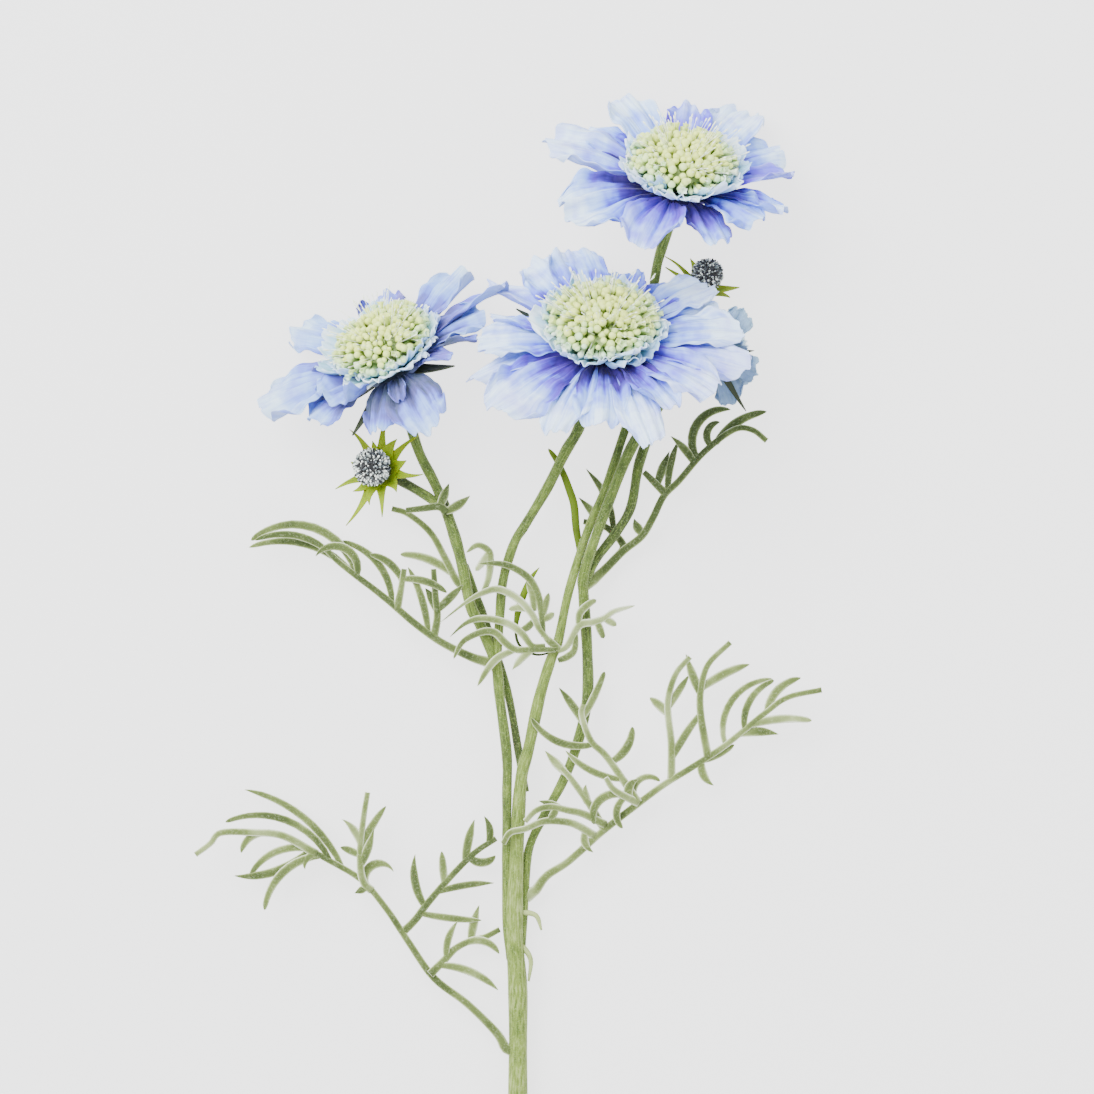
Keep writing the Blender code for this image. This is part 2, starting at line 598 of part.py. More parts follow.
def dome_place(size):
    """The head's dome: a cushion whose foot narrows through the crown, down to the outer petals' disc."""
    foot_z = OUTER_DISC_Z[1] + SEAT_GAP / size

    def place(normal):
        if normal.z >= 0:
            radius = HEAD_RADIUS
            height = HEAD_RIM_Z + (HEAD_TOP_Z - HEAD_RIM_Z) * normal.z
        else:
            radius = HEAD_WAIST + (HEAD_RADIUS - HEAD_WAIST) * (1 + normal.z)
            height = HEAD_RIM_Z + (HEAD_RIM_Z - foot_z) * normal.z
        return (normal.x * radius * size, normal.y * radius * size, height * size)

    return place


def flower_head(bloom, paint):
    size = SIZES[bloom]
    dome = knobbed("dome", HEAD_GRID[bloom], dome_place(size), KNOB_RISE * size)
    return fuse(bloom + "_head", [dome], paint, POSES[bloom])


def blade_place(azimuth, root, reach, width, heights):
    """A narrow blade that tapers to a blunt point. heights gives its height in mm for s from 0 to 1."""

    def place(t, s):
        half = width / 2 * (1 - BLADE_TAPER * s)
        return around(azimuth, root + (reach - root) * s, half * t, heights(s))

    return place


def calyx(bloom, paint):
    """The green cup under a bloom, with its sepals."""
    size = SIZES[bloom]
    top = OUTER_DISC_Z[0] * size - LAYER_GAP
    radius = CALYX_RADIUS * size
    foot = CALYX_FOOT_Z * size
    waist = (CALYX_WAIST * size, top - CALYX_RIM * size)
    profile = ((0, top), (radius, top), waist, (CALYX_FOOT * size, foot), (0, foot))
    pieces = [turned("cup", profile, CUP_STEPS)]
    for azimuth, reach, tip_z in SEPALS[bloom]:
        root_z = top - SEPAL_SINK * size

        def heights(s, root_z=root_z, tip_z=tip_z):
            return root_z * (1 - s) + tip_z * s - SEPAL_SAG * size * s * (1 - s)

        place = blade_place(azimuth, SEPAL_ROOT * size, reach, SEPAL_WIDTH * size, heights)
        pieces.append(sheet("sepal", *BLADE_GRID, place, PETAL_THICK))
    return fuse(bloom + "_calyx", pieces, paint, POSES[bloom])


def bract_height(s):
    """A bract lifts off its disc in an arch and turns up at the tip."""
    return sum(BUD_DISC_Z) / 2 + BRACT_ARCH * math.sin(BRACT_BEND * s) + BRACT_TURN_UP * s * s


def bud_bracts(bud, paint):
    """The green star round a bud, with the collar that holds it on its stalk."""
    low, high = BUD_DISC_Z
    foot = low - BUD_COLLAR_DEPTH
    rims = ((BUD_DISC_RADIUS, high), (BUD_COLLAR_RADIUS, low), (BUD_COLLAR_FOOT, foot))
    profile = ((0, high), *rims, (0, foot))
    pieces = [turned("collar", profile, CUP_STEPS)]
    for azimuth, reach, width in BRACTS[bud]:
        place = blade_place(azimuth, BRACT_ROOT, reach, width, bract_height)
        pieces.append(sheet("bract", *BLADE_GRID, place, PETAL_THICK))
    return fuse(bud + "_bracts", pieces, paint, POSES[bud])


def bud_head(bud, paint):
    radius = BUD_HEAD_RADIUS[bud]
    middle = Vector((0, 0, BUD_DISC_Z[1] + SEAT_GAP + radius))
    head = knobbed("head", BUD_GRID, lambda normal: middle + normal * radius, BUD_KNOB_RISE)
    return fuse(bud + "_head", [head], paint, POSES[bud])


def stem(paint):
    pieces = []
    for name, route in STEMS.items():
        places = [row[:3] for row in route]
        radii = [row[3] for row in route]
        roundness = 0 if name.startswith("stipule") else 1
        pieces.append(tube(name, places, radii, roundness))
    return fuse("stem", pieces, paint)


def point_along(places, along):
    """The place at a share of the axis's length, and the heading there in radians."""
    lengths = [(b - a).length for a, b in zip(places, places[1:])]
    left = along * sum(lengths)
    for start, end, length in zip(places, places[1:], lengths):
        if left <= length:
            break
        left -= length
    left = min(left, length)
    step = end - start
    return start + step * (left / length), math.atan2(step.y, step.x)


def leaflet_places(places, leaflet, rise, lowest):
    """A leaflet's route: an arc that leaves the axis at an angle and turns evenly by its bend."""
    along, angle, length, bend = leaflet
    place, heading = point_along(places, along)
    heading += math.radians(angle)
    steps = 3 if length > LONG_LEAFLET else 2
    route = [place.copy()]
    for index in range(steps):
        turn = heading + math.radians(bend) * (index + 0.5) / steps
        place = place + Vector((math.cos(turn), math.sin(turn), rise)) * (length / steps)
        place.z = max(place.z, lowest)
        route.append(place.copy())
    return route


def leaf(name, paint):
    lowest = LOWEST_LEAFLET.get(name, LOWEST_ELSEWHERE)
    pieces = []
    for points, leaflets in LEAVES[name]:
        places = [Vector(point) for point in points]
        radii = [AXIS_RADIUS] * (len(places) - 1) + [TIP_RADIUS]
        pieces.append(tube("axis", places, radii))
        for index, leaflet in enumerate(leaflets):
            rise = LEAFLET_RISE * (1 if index % 2 else -1)
            route = leaflet_places(places, leaflet, rise, lowest)
            radii = [LEAFLET_RADIUS] * (len(route) - 1) + [TIP_RADIUS]
            pieces.append(tube("leaflet", route, radii))
    return fuse(name, pieces, paint)


def build():
    clear_scene()
    parts = bpy.data.collections.new("Scabiosa")
    bpy.context.scene.collection.children.link(parts)
    paints = {name: make_paint(name) for name in PAINTS}
    for bloom in PETALS:
        outer_petals(bloom, paints["petal"])
        inner_petals(bloom, paints["inner_petal"])
        flower_head(bloom, paints["head"])
        calyx(bloom, paints["sepal"])
    for bud in BRACTS:
        bud_bracts(bud, paints["bract"])
        bud_head(bud, paints["bud_head"])
    stem(paints["stem"])
    for name in LEAVES:
        leaf(name, paints["bract"] if name.startswith("bract") else paints["leaf"])


build()
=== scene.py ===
"""A cut spray of scabiosa lying on a pale floor, seen from straight above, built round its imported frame.

Lengths are in millimetres and are turned into metres by MM where a mesh is made. +Y runs up the stem, +Z away
from the floor. Each bloom and bud is worked out in a frame of its own, with +Z out of its face.
"""

import math

import bpy
import numpy as np
from mathutils import Euler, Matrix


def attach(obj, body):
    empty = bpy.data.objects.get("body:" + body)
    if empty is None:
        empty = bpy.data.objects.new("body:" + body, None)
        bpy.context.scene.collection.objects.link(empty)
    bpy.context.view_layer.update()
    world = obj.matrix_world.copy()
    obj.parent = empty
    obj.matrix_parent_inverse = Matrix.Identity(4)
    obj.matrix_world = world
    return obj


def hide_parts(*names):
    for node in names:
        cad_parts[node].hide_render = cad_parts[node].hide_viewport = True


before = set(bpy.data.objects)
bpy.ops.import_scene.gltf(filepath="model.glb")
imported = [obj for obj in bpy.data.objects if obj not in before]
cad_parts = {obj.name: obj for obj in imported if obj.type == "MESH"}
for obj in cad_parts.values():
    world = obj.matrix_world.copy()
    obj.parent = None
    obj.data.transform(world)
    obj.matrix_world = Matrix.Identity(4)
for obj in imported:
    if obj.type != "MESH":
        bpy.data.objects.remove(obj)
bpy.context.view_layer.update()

# The stem. One cut flower stem, green and downy, that forks low down into the branches of the blooms and
# buds. It grew as one piece, so the branches start inside each other. Each branch is a round bar carried
# along a smooth route, and its down is thousands of short pale hairs.

MM = 0.001

# x, y, z and radius at places along each branch.
STEM_ROUTES = {
    "trunk": (
        (2, -172, 2.25, 2.6), (2, -164, 2.25, 2.6), (2, -130, 4.0, 2.6), (2, -97, 5.1, 2.6),
        (2, -71, 5.9, 2.6), (1, -52, 6.5, 2.4), (2, -26, 7.4, 1.9), (3, -12, 7.7, 1.7),
        (5, -4, 8.0, 1.6), (8, 10, 8.5, 1.6), (11, 20, 8.8, 1.4), (13, 25, 9.0, 1.3), (16, 39, 9.2, 1.2),
        (21, 55, 9.0, 1.2), (26, 67, 9.2, 1.2), (30, 79, 9.5, 1.2), (34, 92, 9.6, 1.2),
        (38, 114, 9.2, 1.2), (39.6, 125, 9.8, 1.3), (41, 131.5, 12.2, 1.4), (45.2, 143.8, 20.9, 1.4),
    ),
    "left": (
        (0, -62, 6.0, 1.2), (-1, -50, 6.4, 1.3), (-1, -30, 6.8, 1.3), (-1, -17, 7.2, 1.3),
        (-1, -6, 7.5, 1.4), (-3, 10, 8.0, 1.4), (-4, 19, 8.3, 1.5), (-8, 29, 8.6, 1.5),
        (-11, 35, 8.8, 1.5), (-13, 45, 9.1, 1.5), (-15, 53, 9.4, 1.6), (-18, 62, 9.2, 1.5),
        (-21, 69, 8.8, 1.4), (-25, 77, 8.8, 1.4), (-28, 87, 10.6, 1.4), (-29.5, 96.5, 15.4, 1.4),
    ),
    "centre": (
        (-4, 17, 8.3, 1.2), (-3, 31, 8.6, 1.3), (-2, 42, 8.9, 1.3), (1, 52, 9.2, 1.3), (4, 57, 9.4, 1.3),
        (10, 67, 9.6, 1.4), (15, 77, 9.8, 1.5), (18, 82, 10.2, 1.5), (20.5, 88, 12.0, 1.5),
        (23.3, 95, 17.0, 1.5), (25.2, 101.1, 24.2, 1.5),
    ),
    "left_rear": (
        (4, -16, 7.0, 1.1), (2, -4, 5.0, 1.1), (-1, 12, 4.8, 1.1), (-7, 31, 5.2, 1.1), (-10, 39, 6.0, 1.1),
        (-12.5, 46, 7.8, 1.1),
    ),
    "right": (
        (3, -60, 5.8, 1.1), (4, -44, 5.3, 1.1), (5, -32, 5.2, 1.2), (9, -23, 5.2, 1.2), (14, -14, 5.3, 1.3),
        (18, -4, 5.5, 1.4), (21, 9, 5.8, 1.5), (21, 23, 6.3, 1.5), (20, 38, 8.0, 1.5), (20, 43, 9.5, 1.5),
        (22, 50, 11.5, 1.4), (26, 61, 12.8, 1.4), (32, 76, 13.3, 1.5), (36, 83, 13.6, 1.6),
        (41, 90, 15.5, 1.5), (46, 96, 19.5, 1.4), (50, 100, 22.2, 1.4), (52.6, 102, 22.0, 1.2),
        (54.2, 103.1, 19.6, 1.1),
    ),
    "rear": (
        (20, 40, 8.4, 1.2), (23, 47, 8.0, 1.3), (29, 55, 7.6, 1.3), (33, 62, 7.6, 1.3), (35, 73, 8.0, 1.4),
        (38, 83, 8.0, 1.4), (40, 97, 6.5, 1.3), (42.5, 108, 4.6, 1.2), (46, 114.5, 3.4, 1.2),
        (50.4, 118.3, 3.4, 1.1), (51.7, 119.65, 4.25, 1.0),
    ),
    "bud_stalk": (
        (-19, 62, 9.6, 1.3), (-23, 65, 9.0, 1.3), (-29, 68.5, 8.4, 1.3), (-34.1, 71.1, 8.5, 1.2),
    ),
    "stipule_right": ((3, -49, 6.0, 0.8), (7, -50, 6.5, 0.7), (8.5, -54, 6.8, 0.3)),
    "stipule_left": ((3, -58, 6.0, 0.8), (5.5, -62, 6.5, 0.7), (5, -68, 6.8, 0.3)),
}
# How pale each branch is at its root and at its end, from dark green at 0 to light sage at 1: partly the
# paleness of its down, and partly painted light and shade, dark on the branches that lie behind the others.
STEM_PALENESS_AND_SHADE = {
    "trunk": (0.68, 0.35), "left": (0.42, 0.3), "centre": (0.5, 0.3), "left_rear": (0.1, 0.2),
    "right": (0.3, 0.4), "rear": (0.2, 0.2), "bud_stalk": (0.7, -0.4), "stipule_right": (0.9, 0.9),
    "stipule_left": (0.9, 0.9),
}
STEM_SIDES = 16
# The stem's down: how close its hairs stand, their length and radius, and how deep each is seated.
STEM_HAIRS_PER_MM2, STEM_HAIR_LENGTH, STEM_HAIR_RADIUS = 2.0, 0.5, 0.032
HAIR_SEAT = 0.04


def linear(code):
    """A colour for the renderer from an sRGB hex code: each channel is taken back through the sRGB curve."""
    channels = np.array([int(code[start:start + 2], 16) for start in (1, 3, 5)]) / 255
    straight = np.where(channels <= 0.04045, channels / 12.92, ((channels + 0.055) / 1.055) ** 2.4)
    return (*straight.tolist(), 1.0)


def add_node(tree, kind, settings, links):
    """Adds one shader node and joins its links. Settings are its fields, its input values, or "stops", a
    ramp's places and hex codes."""
    node = tree.nodes.new("ShaderNode" + kind)
    for key, value in settings.items():
        if key == "stops":
            elements = node.color_ramp.elements
            elements.remove(elements[1])
            elements[0].position, elements[0].color = value[0][0], linear(value[0][1])
            for place, code in value[1:]:
                elements.new(place).color = linear(code)
        elif isinstance(key, str) and hasattr(node, key):
            setattr(node, key, value)
        else:
            node.inputs[key].default_value = value
    for key, socket in links.items():
        tree.links.new(socket, node.inputs[key])
    return node


def new_finish(name, sockets):
    """A new material whose shader has these fixed numbers. Gives the material, its nodes and its shader."""
    material = bpy.data.materials.new(name)
    material.use_nodes = True
    shader = material.node_tree.nodes["Principled BSDF"]
    for socket, value in sockets.items():
        shader.inputs[socket].default_value = value
    return material, material.node_tree, shader


def smooth_route(places, samples=6):
    """A smooth curve through rows of numbers: between two rows each number is a cubic whose slope at either
    end is that of the line between the neighbours."""
    rows = np.array(places, float)
    ends = np.vstack([2 * rows[0] - rows[1], rows, 2 * rows[-1] - rows[-2]])
    before, start, end, after = (ends[shift:len(ends) - 3 + shift, None] for shift in range(4))
    u = np.linspace(0, 1, samples, endpoint=False)[None, :, None]
    curve = start + 0.5 * u * (end - before + u * (2 * before - 5 * start + 4 * end - after
                                                   + u * (3 * start - before - 3 * end + after)))
    return np.vstack([curve.reshape(-1, rows.shape[1]), rows[-1:]])


def unit(vectors):
    """The vectors, each divided by its own length."""
    return vectors / np.maximum(np.linalg.norm(vectors, axis=-1, keepdims=True), 1e-9)


def grid_faces(rows, columns, closed):
    """Four-cornered faces between neighbouring rows and columns, and each corner's row and column. A closed
    grid joins its last column to its first, where the corner's column keeps counting."""
    row, column = np.meshgrid(np.arange(rows - 1), np.arange(columns - (not closed)), indexing="ij")
    corner_rows = np.stack([row, row, row + 1, row + 1], -1).reshape(-1, 4)
    corner_columns = np.stack([column, column + 1, column + 1, column], -1).reshape(-1, 4)
    return corner_rows * columns + corner_columns % columns, corner_rows, corner_columns


def bar(route, sides):
    """A closed round bar. At each row of the route (x, y, z, half width, half thickness) stands an ellipse:
    its point at angle a is the place, plus the level direction across the route times half width times cos a,
    plus the direction at right angles to both times half thickness times sin a."""
    places = route[:, None, :3]
    heading = unit(np.gradient(route[:, :3], axis=0))[:, None]
    across = unit(np.cross((0.0, 0.0, 1.0), heading))
    over = np.cross(heading, across)
    angle = np.linspace(0, 2 * np.pi, sides, endpoint=False)[None, :, None]
    spoke = across * np.cos(angle) * route[:, None, 3:4] + over * np.sin(angle) * route[:, None, 4:5]
    faces, corner_rows, corner_columns = grid_faces(len(route), sides, True)
    length = np.concatenate([[0], np.linalg.norm(np.diff(route[:, :3], axis=0), axis=1).cumsum()])
    first, last = np.arange(sides)[::-1], np.arange(sides) + (len(route) - 1) * sides
    return {
        "grid": places + spoke,
        "outward": unit(spoke),
        "along": np.broadcast_to(heading, spoke.shape),
        "faces": [*faces.tolist(), first.tolist(), last.tolist()],
        "uv": np.concatenate([
            np.stack([corner_columns / sides, length[corner_rows] / 10], -1).reshape(-1, 2),
            np.zeros((2 * sides, 2)),
        ]),
        "length": length,
    }


def grown(name, shapes, finish, nodes=(), sharp=None):
    """One piece from several shapes. Each has points, faces, a uv for each face's corner, and marks: named
    numbers, one for each point, which the material reads. Edges over the sharp angle stay crisp."""
    points = [shape["grid"].reshape(-1, 3) for shape in shapes]
    starts = np.cumsum([0] + [len(block) for block in points])
    faces = [[corner + start for corner in face] for shape, start in zip(shapes, starts.tolist())
             for face in shape["faces"]]
    mesh = bpy.data.meshes.new(name)
    mesh.from_pydata((np.vstack(points) * MM).tolist(), [], faces)
    uv = mesh.uv_layers.new(name="surface")
    uv.data.foreach_set("uv", np.vstack([shape["uv"] for shape in shapes]).astype(np.float32).ravel())
    for mark in shapes[0].get("marks", {}):
        values = np.concatenate([
            np.broadcast_to(shape["marks"][mark], shape["grid"].shape[:-1]).ravel() for shape in shapes
        ])
        mesh.attributes.new(mark, "FLOAT", "POINT").data.foreach_set("value", values.astype(np.float32))
    mesh.polygons.foreach_set("use_smooth", np.ones(len(mesh.polygons), bool))
    if sharp:
        mesh.set_sharp_from_angle(angle=math.radians(sharp))
    mesh.materials.append(finish)
    mesh.validate()
    piece = bpy.data.objects.new(name, mesh)
    bpy.context.scene.collection.objects.link(piece)
    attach(piece, "root")
    if nodes:
        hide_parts(*nodes)


def down_on(shapes, per_mm2, hair_length, hair_radius, chance):
    """Short hairs on bars. Each stands at a random share between four neighbouring points of a bar's grid and
    mostly leans towards the bar's end: its tip is the root plus its length along outward and heading mixed. A
    hair is a three-sided needle, closed at its root, which is seated just under the surface."""
    needles = []
    for shape in shapes:
        grid, outward, along = shape["grid"], shape["outward"], shape["along"]
        rows, sides = grid.shape[:2]
        girth = np.linalg.norm(np.diff(grid[rows // 2], axis=0), axis=1).sum() * sides / (sides - 1)
        count = int(shape["length"][-1] * girth * per_mm2)
        place = chance.uniform(0, shape["length"][-1], count)
        row = np.clip(np.searchsorted(shape["length"], place) - 1, 0, rows - 2)
        share = ((place - shape["length"][row]) / np.diff(shape["length"])[row])[:, None]
        column = chance.integers(0, sides, count)
        turn = chance.uniform(0, 1, (count, 1))
        near = grid[row, column] * (1 - turn) + grid[row, (column + 1) % sides] * turn
        far = grid[row + 1, column] * (1 - turn) + grid[row + 1, (column + 1) % sides] * turn
        root = near * (1 - share) + far * share
        normal = unit(outward[row, column] * (1 - turn) + outward[row, (column + 1) % sides] * turn)
        heading = along[row, column]
        lean = unit(normal + heading * chance.uniform(-0.3, 0.9, (count, 1))
                    + chance.normal(0, 0.35, (count, 3)))
        size = hair_length * chance.uniform(0.5, 1.2, (count, 1))
        angle = np.arange(3)[None, :, None] * 2 * np.pi / 3
        side = np.cross(normal, heading)[:, None]
        ring = root[:, None] - HAIR_SEAT * normal[:, None] + hair_radius * (
            heading[:, None] * np.cos(angle) + side * np.sin(angle))
        needles.append(np.concatenate([ring, (root + lean * size)[:, None]], 1))
    needles = np.concatenate(needles)
    corners = np.array([(0, 1, 3), (1, 2, 3), (2, 0, 3), (0, 2, 1)])
    faces = (np.arange(len(needles))[:, None, None] * 4 + corners).reshape(-1, 3)
    return {"grid": needles, "faces": faces.tolist(), "uv": np.zeros((len(faces) * 3, 2))}


# Living green stem under fine pale down: matt, with a soft light rim where the hairs catch the light, faint
# pale specks where they lie in tufts about 0.5 mm across, and darker streaks along it. Patches are about
# 14 mm across. The uv counts turns round the stem and centimetres along it, so that the streaks are about
# 4 mm long and 0.5 mm wide.
stem_finish, tree, shader = new_finish("downy green stem", {
    "Roughness": 0.75, "Specular IOR Level": 0.3, "Sheen Weight": 0.35, "Sheen Roughness": 0.5,
    "Sheen Tint": linear("#D5E0A8"),
})
place = add_node(tree, "TexCoord", {}, {}).outputs
paleness = add_node(tree, "Attribute", {"attribute_name": "paleness"}, {}).outputs["Fac"]
patches = add_node(tree, "TexNoise", {"Scale": 70.0, "Detail": 2.0}, {"Vector": place["Object"]})
stretch = add_node(tree, "Mapping", {"Scale": (9.0, 0.9, 1.0)}, {"Vector": place["UV"]})
streaks = add_node(tree, "TexNoise", {"Scale": 3.0, "Detail": 3.0}, {"Vector": stretch.outputs[0]})
tufts = add_node(tree, "TexNoise", {"Scale": 1900.0, "Detail": 2.0}, {"Vector": place["Object"]})
tone = add_node(tree, "Math", {"operation": "MULTIPLY_ADD", 1: 0.7},
                {0: patches.outputs["Fac"], 2: paleness})
tone = add_node(tree, "Math", {"operation": "MULTIPLY_ADD", 1: 1.4},
                {0: streaks.outputs["Fac"], 2: tone.outputs[0]})
tone = add_node(tree, "Math", {"operation": "SUBTRACT", 1: 1.1}, {0: tone.outputs[0]})
green = add_node(tree, "ValToRGB", {"stops": (
    (0.0, "#28340F"), (0.3, "#44581A"), (0.6, "#66792E"), (1.0, "#95A168"),
)}, {"Fac": tone.outputs[0]})
tufted = add_node(tree, "MapRange", {"From Min": 0.52, "From Max": 0.7, "To Max": 0.25},
                  {"Value": tufts.outputs["Fac"]})
colour = add_node(tree, "Mix", {"data_type": "RGBA", 7: linear("#A3B56E")},
                  {0: tufted.outputs[0], 6: green.outputs["Color"]})
tree.links.new(colour.outputs[2], shader.inputs["Base Color"])
bump = add_node(tree, "Bump", {"Strength": 0.35, "Distance": 0.0002}, {"Height": tufts.outputs["Fac"]})
tree.links.new(bump.outputs[0], shader.inputs["Normal"])

# The hairs themselves: thin, pale sage and a little translucent, in darker and paler patches 8 mm across.
hair_finish, tree, shader = new_finish("whitish stem hairs", {
    "Roughness": 0.6, "Sheen Weight": 0.3, "Subsurface Weight": 0.2, "Subsurface Scale": 0.0005,
})
place = add_node(tree, "TexCoord", {}, {}).outputs
spots = add_node(tree, "TexNoise", {"Scale": 120.0}, {"Vector": place["Object"]})
colour = add_node(tree, "ValToRGB", {"stops": ((0.35, "#7F9450"), (0.65, "#BFCD94"))},
                  {"Fac": spots.outputs["Fac"]})
tree.links.new(colour.outputs["Color"], shader.inputs["Base Color"])

# Each section draws its random numbers from seeds of its own.
chance = np.random.default_rng(11)
branches = []
for name, rows in STEM_ROUTES.items():
    route = smooth_route(rows)
    # The thickness wanders a little along each branch, as a sine.
    wander = 1 + 0.04 * np.sin(np.arange(len(route)) * 0.9 + len(name))
    route = np.column_stack([route, route[:, 3]])
    route[:, 3:] *= wander[:, None]
    branch = bar(route, STEM_SIDES)
    branch["marks"] = {"paleness": np.linspace(*STEM_PALENESS_AND_SHADE[name], len(route))[:, None]}
    branches.append(branch)
grown("branching_stem", branches, stem_finish, ("stem",))
hairs = down_on(branches, STEM_HAIRS_PER_MM2, STEM_HAIR_LENGTH, STEM_HAIR_RADIUS, chance)
grown("stem_down", [hairs], hair_finish)

# The leaves. Each is cut almost to its midrib into narrow downy leaflets with blunt round ends, and grew out
# of the stem, as two bare yellow-green bracts did. Midribs and leaflets are flattened bars, and a leaflet is
# an arc that leaves its midrib at an angle and turns evenly.

